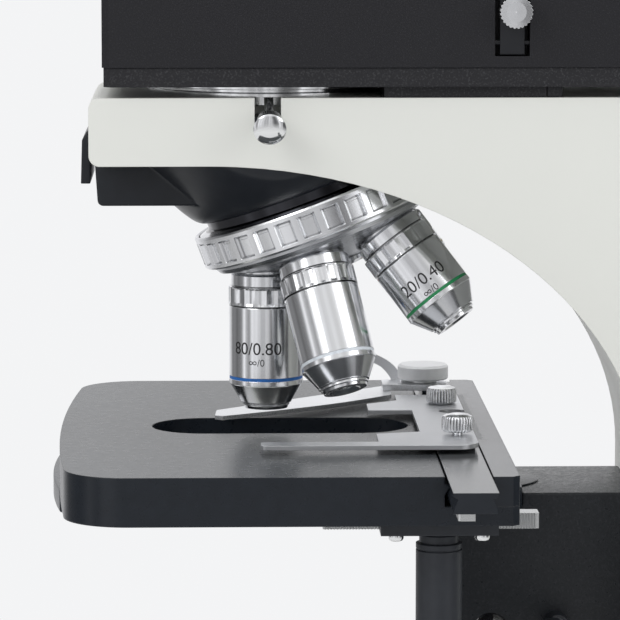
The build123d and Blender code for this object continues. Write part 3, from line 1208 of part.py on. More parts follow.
def mains_inlet():
    """A three-pin appliance inlet set in the back of the base."""
    body = block(BASE_BACK - SOCKET_DEPTH - 4, BASE_BACK, SOCKET_Y - 13.9, SOCKET_Y + 13.9,
                 PANEL_Z - 9.9, PANEL_Z + 9.9)
    cavity = RectangleRounded(23.5, 15.5, 3)
    place = Plane(origin=(BASE_BACK + 1, SOCKET_Y, PANEL_Z), x_dir=(0, 1, 0), z_dir=(-1, 0, 0))
    body -= extrude(place * cavity, amount=SOCKET_DEPTH + 1)
    for y, z in ((-7, -2), (0, 2), (7, -2)):
        body += block(BASE_BACK - SOCKET_DEPTH - 1, BASE_BACK - 5, SOCKET_Y + y - 1, SOCKET_Y + y + 1,
                      PANEL_Z + z - 2, PANEL_Z + z + 2)
    return body


def main():
    os.makedirs("parts", exist_ok=True)
    nodes = {
        "base_casting": base_casting(),
        "base_plate": base_plate(),
        "rubber_feet": rubber_feet(),
        "arm_casting": arm_casting(),
        "nose_housing": nose_housing(),
        "front_cover": front_cover(),
        "nosepiece_ring": nosepiece_ring(),
        "arm_seat_ring": arm_seat_ring(),
        "arm_clamp_screw": arm_clamp_screw(),
        "illuminator_cover": illuminator_cover(),
        "illuminator_housing": illuminator_housing(),
        "selector_lever": selector_lever(),
        "selector_knob": selector_knob(),
        "beam_splitter": beam_splitter(),
        "collector_lens": collector_lens(),
        "lamp_house": lamp_house(),
        "lamp_bulb": lamp_bulb(),
        "head_seat_ring": head_seat_ring(),
        "head_clamp_screw": head_clamp_screw(),
        "head_body": head_body(),
        "photo_tube": photo_tube(),
        "camera_slider": camera_slider(),
        "left_tube": left_tube(),
        "right_tube": right_tube(),
        "diopter_ring": diopter_ring(),
        "left_eyepiece": eyepiece(1),
        "right_eyepiece": eyepiece(-1),
        "turret_plate": turret_plate(),
        "grip_ring": grip_ring(),
        "objective_lenses": objective_lenses(),
        "stage_plate": stage_plate(),
        "scale_block": scale_block(),
        "slider_bar": slider_bar(),
        "bar_rack": bar_rack(),
        "holder_plate": holder_plate(),
        "holder_screw_front": holder_screw(SCREW_FRONT, 1.0, 4.9, 0.9),
        "holder_screw_rear": holder_screw(SCREW_REAR, 0.1, 5.2, 0.7),
        "finger_lever": finger_lever(),
        "finger_spring": finger_spring(),
        "pivot_knob": pivot_knob(),
        "drive_bracket": drive_bracket(),
        "travel_drive": travel_drive(),
        "cross_drive": cross_drive(),
        "stage_lower_plate": stage_lower_plate(),
        "fixed_rack": fixed_rack(),
        "focus_block": focus_block(),
        "focus_rack": focus_rack(),
        "focus_pinion": focus_pinion(),
        "coarse_knobs": coarse_knobs(),
        "fine_knobs": fine_knobs(),
        "tension_ring": tension_ring(),
        "stage_clamp_lever": stage_clamp_lever(),
        "brightness_dial": brightness_dial(),
        "power_switch": power_switch(),
        "mains_inlet": mains_inlet(),
    }
    for index, (name, length) in enumerate(OBJECTIVES.items()):
        nodes[name] = objective_place(index) * objective(length)
    for name, solid in nodes.items():
        export_step(solid, f"parts/{name}.step")


main()
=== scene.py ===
import bmesh
import bpy
from math import cos, pi, radians, sin
from mathutils import Matrix, Vector

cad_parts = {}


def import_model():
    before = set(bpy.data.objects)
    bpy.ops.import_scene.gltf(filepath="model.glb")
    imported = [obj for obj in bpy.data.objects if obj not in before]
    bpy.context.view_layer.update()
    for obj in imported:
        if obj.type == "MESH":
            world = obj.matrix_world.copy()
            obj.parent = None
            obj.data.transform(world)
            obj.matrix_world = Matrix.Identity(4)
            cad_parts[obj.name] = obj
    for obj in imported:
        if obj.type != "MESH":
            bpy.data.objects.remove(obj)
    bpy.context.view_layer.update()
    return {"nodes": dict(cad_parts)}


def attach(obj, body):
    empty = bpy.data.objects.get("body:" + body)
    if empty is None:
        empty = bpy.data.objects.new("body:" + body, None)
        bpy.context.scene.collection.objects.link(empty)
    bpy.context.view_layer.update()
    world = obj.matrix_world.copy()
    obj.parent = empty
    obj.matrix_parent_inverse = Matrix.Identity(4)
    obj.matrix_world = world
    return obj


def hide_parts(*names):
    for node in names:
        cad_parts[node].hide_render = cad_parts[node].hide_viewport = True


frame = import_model()
nodes = frame["nodes"]

# Places and directions are in metres. Rows, outlines and lengths are in millimetres.
MM = 0.001
STAGE_TOP = 0.185
HOLDER_TOP = STAGE_TOP + 3.0 * MM

# The revolving nosepiece, where the axes of the objectives meet its own at the apex
APEX = Vector((0, 0, 0.2992))
TILT = radians(20.7)
TURRET_AXIS = Vector((sin(TILT), 0, -cos(TILT)))
POSITIONS = 5
SHOULDER_DISTANCE = 64.0

# The length of each objective from its shoulder, and the plain numbers engraved on it
OBJECTIVES = {"80x": 44.15, "50x": 43.0, "20x": 36.6, "10x": 26.5, "5x": 29.0}
ENGRAVING = {
    "80x": ("80/0.80", "∞/0"),
    "20x": ("20/0.40", "∞/0"),
    "10x": ("10/0.25",),
    "5x": ("5/0.15",),
}


# Materials

# How far up a face looks, from where it starts to take its painted top light to where it has all of it
FACING_UP = (0.75, 0.97)
# How open a place is, from the darkest hollow to the open surface, for the shade painted into hollows
OPENNESS = (0.4, 0.95)


def add_node(tree, kind, **settings):
    node = tree.nodes.new("ShaderNode" + kind)
    for key, value in settings.items():
        setattr(node, key, value)
    return node


class Shader:
    """A material with a Principled shader and helpers that wire its texture nodes."""

    def __init__(self, name, colour, roughness, metallic=0.0, **values):
        self.material = bpy.data.materials.new(name)
        self.material.use_nodes = True
        self.tree = self.material.node_tree
        self.out = next(n for n in self.tree.nodes if n.type == "BSDF_PRINCIPLED")
        self.out.inputs["Base Color"].default_value = (*colour, 1)
        self.out.inputs["Roughness"].default_value = roughness
        self.out.inputs["Metallic"].default_value = metallic
        for key, value in values.items():
            self.out.inputs[key.replace("_", " ")].default_value = value
        self.normal = None

    def add(self, kind, **settings):
        return add_node(self.tree, kind, **settings)

    def link(self, a, b):
        self.tree.links.new(a, b)

    def position(self, stretch=(1, 1, 1)):
        """Object coordinates in metres, stretched."""
        coordinates = self.add("TexCoord")
        mapping = self.add("Mapping")
        mapping.inputs["Scale"].default_value = stretch
        self.link(coordinates.outputs["Object"], mapping.inputs["Vector"])
        return mapping.outputs["Vector"]

    def along(self, point, axis):
        """The distance in metres along an axis through a point."""
        coordinates = self.add("TexCoord")
        less = self.add("VectorMath", operation="SUBTRACT")
        less.inputs[1].default_value = point
        dot = self.add("VectorMath", operation="DOT_PRODUCT")
        dot.inputs[1].default_value = axis
        self.link(coordinates.outputs["Object"], less.inputs[0])
        self.link(less.outputs[0], dot.inputs[0])
        return dot.outputs["Value"]

    def noise(self, scale, detail=3.0, stretch=(1, 1, 1), vector=None, roughness=0.5):
        node = self.add("TexNoise")
        node.inputs["Scale"].default_value = scale
        node.inputs["Detail"].default_value = detail
        node.inputs["Roughness"].default_value = roughness
        self.link(vector or self.position(stretch), node.inputs["Vector"])
        return node.outputs["Fac"]

    def spread(self, value, low, high, start=0.3, end=0.7):
        """A value's run from start to end, spread from low to high."""
        node = self.add("MapRange")
        node.inputs["From Min"].default_value = start
        node.inputs["From Max"].default_value = end
        node.inputs["To Min"].default_value = low
        node.inputs["To Max"].default_value = high
        self.link(value, node.inputs["Value"])
        return node.outputs["Result"]

    def mix(self, **settings):
        """A mix of two colours that gives the base colour: its factor and its two colour inputs."""
        node = self.add("Mix", data_type="RGBA", **settings)
        first, second = [s for s in node.inputs if s.type == "RGBA"]
        before = self.out.inputs["Base Color"].links
        if before:
            self.link(before[0].from_socket, first)
        self.link(next(s for s in node.outputs if s.type == "RGBA"), self.out.inputs["Base Color"])
        return node.inputs["Factor"], first, second

    def shade(self, value, dark, light, start=0.3, end=0.7):
        """Colour between two tints, chosen by a value, in place of the colour so far."""
        for link in self.out.inputs["Base Color"].links:
            self.tree.links.remove(link)
        factor, first, second = self.mix()
        first.default_value = (*dark, 1)
        second.default_value = (*light, 1)
        self.link(self.spread(value, 0, 1, start, end), factor)
        return self

    def rough(self, value, low, high, start=0.3, end=0.7):
        self.link(self.spread(value, low, high, start, end), self.out.inputs["Roughness"])
        return self

    def painted_top_light(self, colour):
        """Paints a lighter tint on faces that look up, a painted sheen that stands in for light from above.
        """
        coordinates = self.add("TexCoord")
        split = self.add("SeparateXYZ")
        self.link(coordinates.outputs["Normal"], split.inputs[0])
        factor, _, second = self.mix()
        second.default_value = (*colour, 1)
        self.link(self.spread(split.outputs["Z"], 0, 1, *FACING_UP), factor)
        return self

    def painted_hollow_shade(self, distance, dark):
        """Paints shade into grooves and inner corners by darkening their colour."""
        node = self.add("AmbientOcclusion", samples=8, only_local=True)
        node.inputs["Distance"].default_value = distance
        factor, _, second = self.mix(blend_type="MULTIPLY")
        factor.default_value = 1
        self.link(self.spread(node.outputs["AO"], dark, 1, *OPENNESS), second)
        return self

    def soften(self, radius):
        """Rounds the highlights on sharp edges."""
        node = self.add("Bevel", samples=6)
        node.inputs["Radius"].default_value = radius
        self.normal = node.outputs["Normal"]
        self.link(self.normal, self.out.inputs["Normal"])
        return self

    def bump(self, value, height, strength=1.0):
        node = self.add("Bump")
        node.inputs["Strength"].default_value = strength
        node.inputs["Distance"].default_value = height
        self.link(value, node.inputs["Height"])
        if self.normal:
            self.link(self.normal, node.inputs["Normal"])
        self.normal = node.outputs["Normal"]
        self.link(self.normal, self.out.inputs["Normal"])
        return self


def times(colour, factor):
    return [min(1, channel * factor) for channel in colour]


def paint(name, colour, roughness):
    """Smooth enamel with faint orange peel and a slightly uneven tone."""
    s = Shader(name, colour, roughness).soften(0.0004)
    s.shade(s.noise(9, 4), times(colour, 0.985), times(colour, 1.01))
    s.rough(s.noise(60, 4), roughness - 0.04, roughness + 0.05)
    return s.bump(s.noise(900, 3), 0.00003, 0.3)


def grained(name, colour, light, scale, height, roughness=0.5):
    """Black paint with a fine pebbled grain and lighter specks."""
    s = Shader(name, colour, roughness, Specular_IOR_Level=0.36).soften(0.0005)
    grain = s.noise(scale, 4, roughness=0.65)
    s.shade(grain, colour, light, 0.52, 0.78)
    s.rough(s.noise(scale * 0.7, 3), roughness - 0.1, roughness + 0.1)
    return s.bump(grain, height, 0.8)


def smooth_black(name, colour, roughness, edge=0.0005):
    """Anodised black, nearly plain, with faint handling marks in its gloss."""
    s = Shader(name, colour, roughness, Specular_IOR_Level=0.34).soften(edge)
    s.shade(s.noise(260, 3), colour, times(colour, 1.2))
    s.rough(s.noise(420, 5, roughness=0.7), roughness - 0.02, roughness + 0.03)
    return s.bump(s.noise(5200, 2), 0.000003, 0.3)


def turned_metal(name, colour, roughness, point=(0, 0, 0), axis=(0, 0, 1), pitch=9000,
                 depth=0.000008, metallic=1.0):
    """Metal with fine turning marks round an axis."""
    s = Shader(name, colour, roughness, metallic).soften(0.00015)
    place = s.add("CombineXYZ")
    s.link(s.along(point, axis), place.inputs["X"])
    rings = s.noise(pitch, 2, vector=place.outputs["Vector"])
    s.rough(rings, roughness - 0.04, roughness + 0.06)
    s.shade(s.noise(60, 3), times(colour, 0.95), colour)
    return s.bump(rings, depth, 0.5)


def brushed(name, colour, roughness, stretch=(1, 1, 12)):
    """Metal with straight brushing marks."""
    s = Shader(name, colour, roughness, 1.0).soften(0.0002)
    marks = s.noise(1500, 3, stretch)
    s.rough(marks, roughness - 0.05, roughness + 0.06)
    s.shade(s.noise(40, 3), times(colour, 0.95), colour)
    return s.bump(marks, 0.000012, 0.4)


def moulded(name, colour, roughness, scale=1800):
    """Moulded plastic or rubber with a fine texture."""
    s = Shader(name, colour, roughness).soften(0.0004)
    s.shade(s.noise(30, 4), colour, times(colour, 1.4))
    return s.bump(s.noise(scale, 3), 0.00006, 0.6)


def glass(name, tint):
    """Clear glass with a trace of dust on it."""
    s = Shader(name, tint, 0.02, Transmission_Weight=1.0, IOR=1.5)
    s.rough(s.noise(80, 3), 0.0, 0.03)
    return s


def ink(name, colour):
    """Paint that fills an engraved line."""
    s = Shader(name, colour, 0.45)
    s.shade(s.noise(900, 3), times(colour, 0.85), times(colour, 1.1))
    return s.bump(s.noise(4000, 2), 0.00001, 0.4)


def dress(shader, *names):
    """Gives the named nodes a material."""
    for name in names:
        mesh = nodes[name].data
        mesh.materials.clear()
        mesh.materials.append(shader.material)


CREAM = (0.79, 0.80, 0.76)
CHROME = (0.88, 0.89, 0.91)
RAIL_BLACK = (0.012, 0.015, 0.020)

# Where the black of the fixed ring ends and its bright part starts, along the turret's axis
RING_SEAM = (0.0408, 0.0410)

BOX_BLACK = grained("box_grain", (0.0105, 0.0105, 0.0135), (0.034, 0.034, 0.040), 2200, 0.00008)
# Painted shade: the barrel chrome is darkened in its grooves and inner corners
BARREL = turned_metal("barrel_chrome", CHROME, 0.15).painted_hollow_shade(0.0008, 0.25)
CONE_METAL = turned_metal("cone_chrome", (0.60, 0.61, 0.63), 0.18)
MIRROR = turned_metal("mirror_chrome", (0.86, 0.87, 0.88), 0.07, pitch=5000, depth=0.000002)
# Painted shade: the satin aluminium is darkened in its pockets and inner corners
SATIN = turned_metal("satin_aluminium", CHROME, 0.22).painted_hollow_shade(0.0007, 0.16)
NOSE_BLACK = smooth_black("nose_black", (0.012, 0.014, 0.018), 0.30, 0.0009)
STAGE_BLACK = smooth_black("stage_black", (0.0095, 0.0125, 0.0175), 0.28, 0.0006)
# Painted sheen: the stage's upward faces get a lighter tint that stands in for light from above
STAGE_BLACK.painted_top_light((0.050, 0.055, 0.060))
BLOCK_BLACK = grained("block_grain", (0.011, 0.013, 0.016), (0.028, 0.030, 0.036), 1100, 0.0002, 0.36)
# Painted sheen: the block's upward faces get a lighter tint that stands in for light from above
BLOCK_BLACK.painted_top_light((0.09, 0.094, 0.10))
# Painted sheen: the upward faces of the scale block and slider bar get a lighter tint that stands in for
# light from above
SCALE_BLACK = smooth_black("scale_black", RAIL_BLACK, 0.20).painted_top_light((0.085, 0.090, 0.096))
BAR_BLACK = smooth_black("bar_black", RAIL_BLACK, 0.16).painted_top_light((0.09, 0.095, 0.10))
BALL = moulded("ball_plastic", (0.008, 0.008, 0.009), 0.10, 300)
FIXED_RING = turned_metal("ring_chrome", (0.36, 0.37, 0.39), 0.12, APEX, TURRET_AXIS)
FIXED_RING.shade(FIXED_RING.along(APEX, TURRET_AXIS), (0.045, 0.046, 0.052), (0.70, 0.71, 0.73), *RING_SEAM)

dress(paint("cream_paint", CREAM, 0.42), "arm_casting", "base_casting")
dress(BOX_BLACK, "illuminator_housing", "lamp_house", "head_body", "left_tube", "right_tube",
      "photo_tube")
dress(grained("cover_grain", (0.014, 0.014, 0.017), (0.065, 0.065, 0.070), 1500, 0.00016),
      "illuminator_cover")
dress(STAGE_BLACK, "stage_plate")
dress(smooth_black("tube_black", (0.024, 0.027, 0.033), 0.42), "drive_bracket")
dress(SCALE_BLACK, "scale_block")
dress(BAR_BLACK, "slider_bar")
dress(smooth_black("lever_black", (0.014, 0.015, 0.018), 0.34), "selector_lever")
dress(smooth_black("knob_black", (0.014, 0.015, 0.017), 0.36), "coarse_knobs", "fine_knobs",
      "tension_ring", "travel_drive", "cross_drive", "base_plate")
dress(brushed("holder_steel", (0.66, 0.67, 0.69), 0.38, (1, 10, 1)), "holder_plate")
dress(brushed("finger_steel", (0.86, 0.87, 0.89), 0.30, (10, 1, 1)), "finger_lever")
dress(brushed("rack_steel", (0.66, 0.67, 0.67), 0.30), "bar_rack", "fixed_rack", "focus_rack",
      "focus_pinion", "finger_spring", "camera_slider")
dress(turned_metal("knob_satin", (0.93, 0.94, 0.96), 0.48, metallic=0.25), "pivot_knob")
dress(turned_metal("turret_steel", (0.50, 0.51, 0.53), 0.24, APEX, TURRET_AXIS), "turret_plate")
dress(FIXED_RING, "nosepiece_ring")
dress(MIRROR, "arm_seat_ring", "head_seat_ring")
dress(SATIN, "selector_knob")
dress(moulded("rubber", (0.012, 0.012, 0.012), 0.7), "rubber_feet")
dress(moulded("black_plastic", (0.014, 0.014, 0.015), 0.5), "left_eyepiece", "right_eyepiece",
      "diopter_ring", "brightness_dial", "power_switch", "mains_inlet")
dress(glass("optic_glass", (0.9, 0.95, 0.97)), "objective_lenses", "beam_splitter", "collector_lens",
      "lamp_bulb")


# Making and placing pieces

def curve_mesh(name, curve):
    """The mesh of a curve or of words."""
    holder = bpy.data.objects.new(name + "_curve", curve)
    bpy.context.scene.collection.objects.link(holder)
    bpy.context.view_layer.update()
    mesh = bpy.data.meshes.new_from_object(holder.evaluated_get(bpy.context.evaluated_depsgraph_get()))
    bpy.data.objects.remove(holder)
    mesh.name = name
    return mesh


def turned(name, rows, ripple=None, steps=160, sharp=32):
    """A mesh turned about z, from rows of (radius, height, depth, band).

    Depth is how far the ripple cuts in, and band is the number of the material from there up. Both
    are 0 where a row leaves them out.
    """
    vertices, faces, bands, rings = [], [], [], []
    for row in rows:
        radius, height, depth, band = (*row, 0, 0)[:4]
        count = 1 if radius == 0 else steps
        rings.append((len(vertices), count, band))
        for step in range(count):
            angle = 2 * pi * step / steps
            reach = radius - (depth * ripple(angle) if depth else 0)
            vertices.append((reach * cos(angle) * MM, reach * sin(angle) * MM, height * MM))
    for (first, many, band), (second, more, _) in zip(rings, rings[1:]):
        for step in range(steps):
            after = (step + 1) % steps
            corners = [first + step % many, first + after % many, second + after % more,
                       second + step % more]
            faces.append(list(dict.fromkeys(corners)))
            bands.append(band)
    mesh = bpy.data.meshes.new(name)
    mesh.from_pydata(vertices, [], faces)
    mesh.polygons.foreach_set("material_index", bands)
    mesh.shade_smooth()
    mesh.set_sharp_from_angle(angle=radians(sharp))
    return mesh


def flutes(count, share):
    """A ripple of round grooves that take up a share of the height of a wave."""
    def ripple(angle):
        wave = 0.5 + 0.5 * cos(angle * count)
        return max(0.0, (wave - 1 + share) / share)
    return ripple


def scallops(count):
    """A ripple of shallow hollows that meet at sharp edges."""
    def ripple(angle):
        return abs(sin(angle * count / 2))
    return ripple


def pockets(count, share, soft):
    """A ripple of flat pockets with sloping sides, by their shares of half the pitch."""
    def ripple(angle):
        place = abs((angle * count / (2 * pi)) % 1 - 0.5) * 2
        return min(1.0, max(0.0, (share + soft - place) / soft))
    return ripple


def piece(mesh, body, place, materials, replaces=()):
    """Puts a mesh in the scene on a body, in place of the named nodes."""
    obj = bpy.data.objects.new(mesh.name, mesh)
    bpy.context.scene.collection.objects.link(obj)
    obj.matrix_world = place
    for shader in materials:
        mesh.materials.append(shader.material)
    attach(obj, body)
    if replaces:
        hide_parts(*replaces)
    return obj


def frame_at(origin, z_axis, x_axis=(1, 0, 0)):
    """A place with its z along one direction and its x as near as may be to another."""
    z = Vector(z_axis).normalized()
    y = z.cross(Vector(x_axis)).normalized()
    x = y.cross(z)
    return Matrix.Translation(Vector(origin)) @ Matrix((x, y, z)).transposed().to_4x4()


def turret_place():
    return frame_at(APEX, TURRET_AXIS, (cos(TILT), 0, sin(TILT)))


def objective_place(index):
    """The place of an objective's shoulder, with z towards its tip."""
    turn = Matrix.Rotation(-2 * pi / POSITIONS * index, 4, "Z")
    lean = Matrix.Rotation(-TILT, 4, "Y")
    return turret_place() @ turn @ lean @ Matrix.Translation((0, 0, SHOULDER_DISTANCE * MM))


# Objectives

BARREL_RADIUS = 11.95
SCALLOPED_RADIUS = BARREL_RADIUS + 0.1
TIP_RADIUS = 7.65
CONE = 8.0
SCALLOP_COUNT = 20
SCALLOP_DEPTH = 0.42
BAND_BELOW_BELT = 2.7
BANDS = {
    "80x": ink("band_blue", (0.015, 0.16, 0.55)),
    "50x": ink("band_white", (0.75, 0.80, 0.86)),
    "20x": ink("band_green", (0.01, 0.24, 0.08)),
    "10x": ink("band_yellow", (0.75, 0.55, 0.03)),
    "5x": ink("band_red", (0.45, 0.02, 0.02)),
}
BLACK_INK = ink("black_ink", (0.012, 0.012, 0.013))
WHITE_INK = ink("white_ink", (0.34, 0.35, 0.36))

# Numbers on the barrels: sizes of the two lines, the step between them, how far the first stands
# from the belt, its turn away from the operator's right, and the strips that it is bent in
LINE_SIZES = (5.6, 3.2)
LINE_STEP = 4.4
LETTER_DROP = {"80x": 12.2, "20x": 8.2, "10x": 6.0, "5x": 6.0}
LETTER_TURN = {"80x": 0.28}
LETTER_STRIPS = 60
INK_HEIGHT = 0.02


def belt_of(length):
    """The height at which an objective's cone starts."""
    return length - min(CONE, length / 3)


def objective_rows(length):
    """The outside of an objective, from its thread to the rim round its front lens."""
    belt = belt_of(length)
    band = belt - BAND_BELOW_BELT
    r = BARREL_RADIUS
    ring = SCALLOPED_RADIUS
    tip = TIP_RADIUS
    collar = [(9.9, -4.5), (9.9, 0), (10.7, 0), (11.3, 0.6), (11.3, 3.8), (10.9, 4.0), (10.9, 4.3)]
    scalloped = [(ring, 4.5), (ring, 4.9, SCALLOP_DEPTH), (ring, 9.3, SCALLOP_DEPTH), (ring, 10.2)]
    groove = [(11.2, 10.3), (11.2, 10.6)]
    barrel = [(r - 0.1, 10.7), (r, 10.9), (r, band - 0.1)]
    painted = [(r - 0.12, band, 0, 1), (r - 0.12, band + 0.95), (r, band + 1.05)]
    cone = [(r, belt - 0.25), (r - 0.3, belt, 0, 2), (tip + 0.6, length - 2.3, 0, 2)]
    mount = [(tip + 0.6, length - 2.1), (tip, length - 1.9), (tip, length - 1.2),
             (tip - 0.5, length - 1.0), (tip - 0.7, length - 0.1), (tip - 1.1, length)]
    lens_seat = [(5.0, length), (4.4, length - 0.5), (3.25, length - 1.15), (0, length - 1.15)]
    return [*collar, *scalloped, *groove, *barrel, *painted, *cone, *mount, *lens_seat]


def lettering(name, text, size, radius, height, middle):
    """Words bent round a barrel, read from its side, with their middle at an angle."""
    curve = bpy.data.curves.new(name, "FONT")
    curve.body = text
    curve.size = size * MM
    curve.align_x = "CENTER"
    curve.align_y = "CENTER"
    curve.resolution_u = 6
    mesh = curve_mesh(name, curve)
    form = bmesh.new()
    form.from_mesh(mesh)
    reach = max(abs(vertex.co.x) for vertex in form.verts)
    for cut in range(1, LETTER_STRIPS):
        x = reach * (2 * cut / LETTER_STRIPS - 1)
        parts = [*form.verts, *form.edges, *form.faces]
        bmesh.ops.bisect_plane(form, geom=parts, plane_co=(x, 0, 0), plane_no=(1, 0, 0))
    form.to_mesh(mesh)
    form.free()
    for vertex in mesh.vertices:
        x, y, _ = vertex.co
        angle = middle - x / (radius * MM)
        vertex.co = (radius * MM * cos(angle), radius * MM * sin(angle), height * MM - y)
    return mesh


def objective(index, size):
    """An objective with its scalloped ring, grooves, painted band and engraved numbers."""
    length = OBJECTIVES[size]
    place = objective_place(index)
    mesh = turned("barrel_" + size, objective_rows(length), scallops(SCALLOP_COUNT), sharp=13)
    piece(mesh, "turret", place, [BARREL, BANDS[size], CONE_METAL], ["objective_" + size])
    towards = place.to_3x3().inverted() @ Vector((0, -1, 0))
    middle = Vector((towards.x, towards.y)).angle_signed(Vector((1, 0))) + LETTER_TURN.get(size, 0)
    for line, text in enumerate(ENGRAVING.get(size, ())):
        height = belt_of(length) - LETTER_DROP[size] + LINE_STEP * line
        words = lettering(f"engraving_{size}_{line}", text, LINE_SIZES[line],
                          BARREL_RADIUS + INK_HEIGHT, height, middle)
        piece(words, "turret", place, [BLACK_INK])


# Grip ring and thumbscrews

RING_BORE = 37.42
RING_RADIUS = 40.3
RING_POCKETS = 32
POCKET_DEPTH = 1.5
FLUTE_DEPTH = 0.45
ARM_SCREW_LEAN = radians(20)
ARM_SCREW_SEAT = (0.0004, -0.0484, 0.2878)
HEAD_SCREW_SEAT = (0, -0.040, 0.3631)
FRONT_SCREW_SEAT = (0.0595, -0.040, HOLDER_TOP + 1.0 * MM)
REAR_SCREW_SEAT = (0.0586, 0.028, HOLDER_TOP + 0.1 * MM)


def grip_ring():
    """The hand ring: raised ribs between flat pockets."""
    back = [(RING_BORE, 44.5), (38.85, 44.5), (38.85, 41.6), (39.3, 41.2), (39.9, 41.3)]
    ribs = [(RING_RADIUS, 41.9), (RING_RADIUS, 43.1), (RING_RADIUS, 43.7, POCKET_DEPTH),
            (RING_RADIUS, 50.2, POCKET_DEPTH), (RING_RADIUS, 50.4), (RING_RADIUS, 51.4)]
    front = [(39.8, 52.0), (38.0, 52.0), (RING_BORE, 51.4), (RING_BORE, 44.5)]
    mesh = turned("grip_ribs", [*back, *ribs, *front], pockets(RING_POCKETS, 0.52, 0.22),
                  RING_POCKETS * 40, 20)
    piece(mesh, "turret", turret_place(), [SATIN], ["grip_ring"])


def thumbscrew(name, node, body, place, radius, length, dome, stem, flute_count, grip=None):
    """A knurled thumbscrew with a polished domed face, which may be wider than its grip."""
    grip = grip or radius
    stem_radius, stem_length = stem
    face = []
    if grip < radius:
        face = [(grip - 0.3, length - 0.9), (radius - 0.2, length - 0.8), (radius, length - 0.4)]
    rows = [(0, -stem_length), (stem_radius, -stem_length), (stem_radius, 0), (grip - 0.8, 0),
            (grip, 0.7, FLUTE_DEPTH), (grip, length - 1.0, FLUTE_DEPTH), *face,
            (radius - 0.45, length, 0, 1), (radius * 0.72, length + dome * 0.55, 0, 1),
            (radius * 0.36, length + dome * 0.9, 0, 1), (0, length + dome, 0, 1)]
    mesh = turned(name, rows, flutes(flute_count, 0.7), flute_count * 8)
    piece(mesh, body, place, [BARREL, MIRROR], [node])


def thumbscrews():
    outward = Vector((0, -cos(ARM_SCREW_LEAN), -sin(ARM_SCREW_LEAN)))
    thumbscrew("arm_clamp_knurl", "arm_clamp_screw", "arm_screw", frame_at(ARM_SCREW_SEAT, outward),
               5.1, 8.0, 1.0, (1.5, 17.0), 36, 3.8)
    thumbscrew("head_clamp_knurl", "head_clamp_screw", "head_screw", frame_at(HEAD_SCREW_SEAT, (0, -1, 0)),
               5.1, 8.0, 1.0, (2.0, 9.7), 36)
    thumbscrew("front_screw_knurl", "holder_screw_front", "front_screw",
               frame_at(FRONT_SCREW_SEAT, (0, 0, 1)), 5.0, 4.9, 0.9, (1.6, 5.4), 30)
    thumbscrew("rear_screw_knurl", "holder_screw_rear", "rear_screw",
               frame_at(REAR_SCREW_SEAT, (0, 0, 1)), 5.0, 5.2, 0.7, (1.6, 4.5), 30)


for index, size in enumerate(OBJECTIVES):
    objective(index, size)
grip_ring()
thumbscrews()


# Forms of the stand and under the stage

# Outlines as drawn on the side of the stand, and flat ones
SIDE = Matrix(((1, 0, 0, 0), (0, 0, -1, 0), (0, 1, 0, 0), (0, 0, 0, 1)))
FLAT = Matrix.Identity(4)
ARM_BOTTOM = 272.7
ARM_TOP = 294.0
ARM_FRONT = -55.7
ARM_HALF = 42.0
BOWL_FLANK = [(53, 8), (45.2, 23.1), (40.3, 36.2), (36.3, 37.5)]
BOWL_CLEARANCE = 0.1
TOE_HALF = 24.0
TOE_DROP = 13.9
LOWER_TOP = 169.6
LOWER_BOTTOM = 162.6
FOCUS_TOP = 167.0
FOCUS_BOTTOM = 76.0
FOCUS_HALF = 27.0
TONGUE_HALF = 14
BRACKET_BOTTOM = 165.5
BRACKET_SCREWS = (37.7, 63.8)
SCALE_START = -31
SCALE_EDGE = 66.3
MARK_HALF = 0.09


def arc(centre, radius, start, end, steps=8):
    """Points round a centre, from one angle in degrees to another."""
    angles = [radians(start + (end - start) * step / steps) for step in range(steps + 1)]
    return [(centre[0] + radius * cos(angle), centre[1] + radius * sin(angle)) for angle in angles]


def rounded(mesh, bevel):
    """Rounds a mesh's sharp edges by a size in millimetres."""
    form = bmesh.new()
    form.from_mesh(mesh)
    bmesh.ops.remove_doubles(form, verts=form.verts, dist=1e-7)
    bmesh.ops.recalc_face_normals(form, faces=form.faces)
    edges = [edge for edge in form.edges
             if len(edge.link_faces) == 2 and edge.calc_face_angle() > radians(30)]
    bmesh.ops.bevel(form, geom=edges, offset=bevel * MM, segments=3, profile=0.5, affect="EDGES")
    form.to_mesh(mesh)
    form.free()
    mesh.shade_smooth()
    mesh.set_sharp_from_angle(angle=radians(40))
    return mesh


def prism(name, outline, low, high, bevel):
    """An outline carried from one height to another, with rounded edges."""
    count = len(outline)
    mesh = bpy.data.meshes.new(name)
    vertices = [(x * MM, y * MM, z * MM) for z in (low, high) for x, y in outline]
    ends = [tuple(reversed(range(count))), tuple(range(count, 2 * count))]
    sides = [(i, (i + 1) % count, count + (i + 1) % count, count + i) for i in range(count)]
    mesh.from_pydata(vertices, [], [*ends, *sides])
    return rounded(mesh, bevel)


def pierced(name, outlines, low, high, bevel):
    """A flat plate of an outline with others cut out of it."""
    curve = bpy.data.curves.new(name, "CURVE")
    curve.dimensions = "2D"
    curve.fill_mode = "BOTH"
    curve.extrude = (high - low) / 2 * MM
    for outline in outlines:
        spline = curve.splines.new("POLY")
        spline.points.add(len(outline) - 1)
        for point, (x, y) in zip(spline.points, outline):
            point.co = (x * MM, y * MM, 0, 1)
        spline.use_cyclic_u = True
    mesh = curve_mesh(name, curve)
    mesh.transform(Matrix.Translation((0, 0, (low + high) / 2 * MM)))
    return rounded(mesh, bevel)


def joined(name, parts):
    """One mesh of several, each at its place."""
    form = bmesh.new()
    for mesh, place in parts:
        mesh.transform(place)
        form.from_mesh(mesh)
        bpy.data.meshes.remove(mesh)
    mesh = bpy.data.meshes.new(name)
    form.to_mesh(mesh)
    form.free()
    mesh.shade_smooth()
    mesh.set_sharp_from_angle(angle=radians(40))
    return mesh


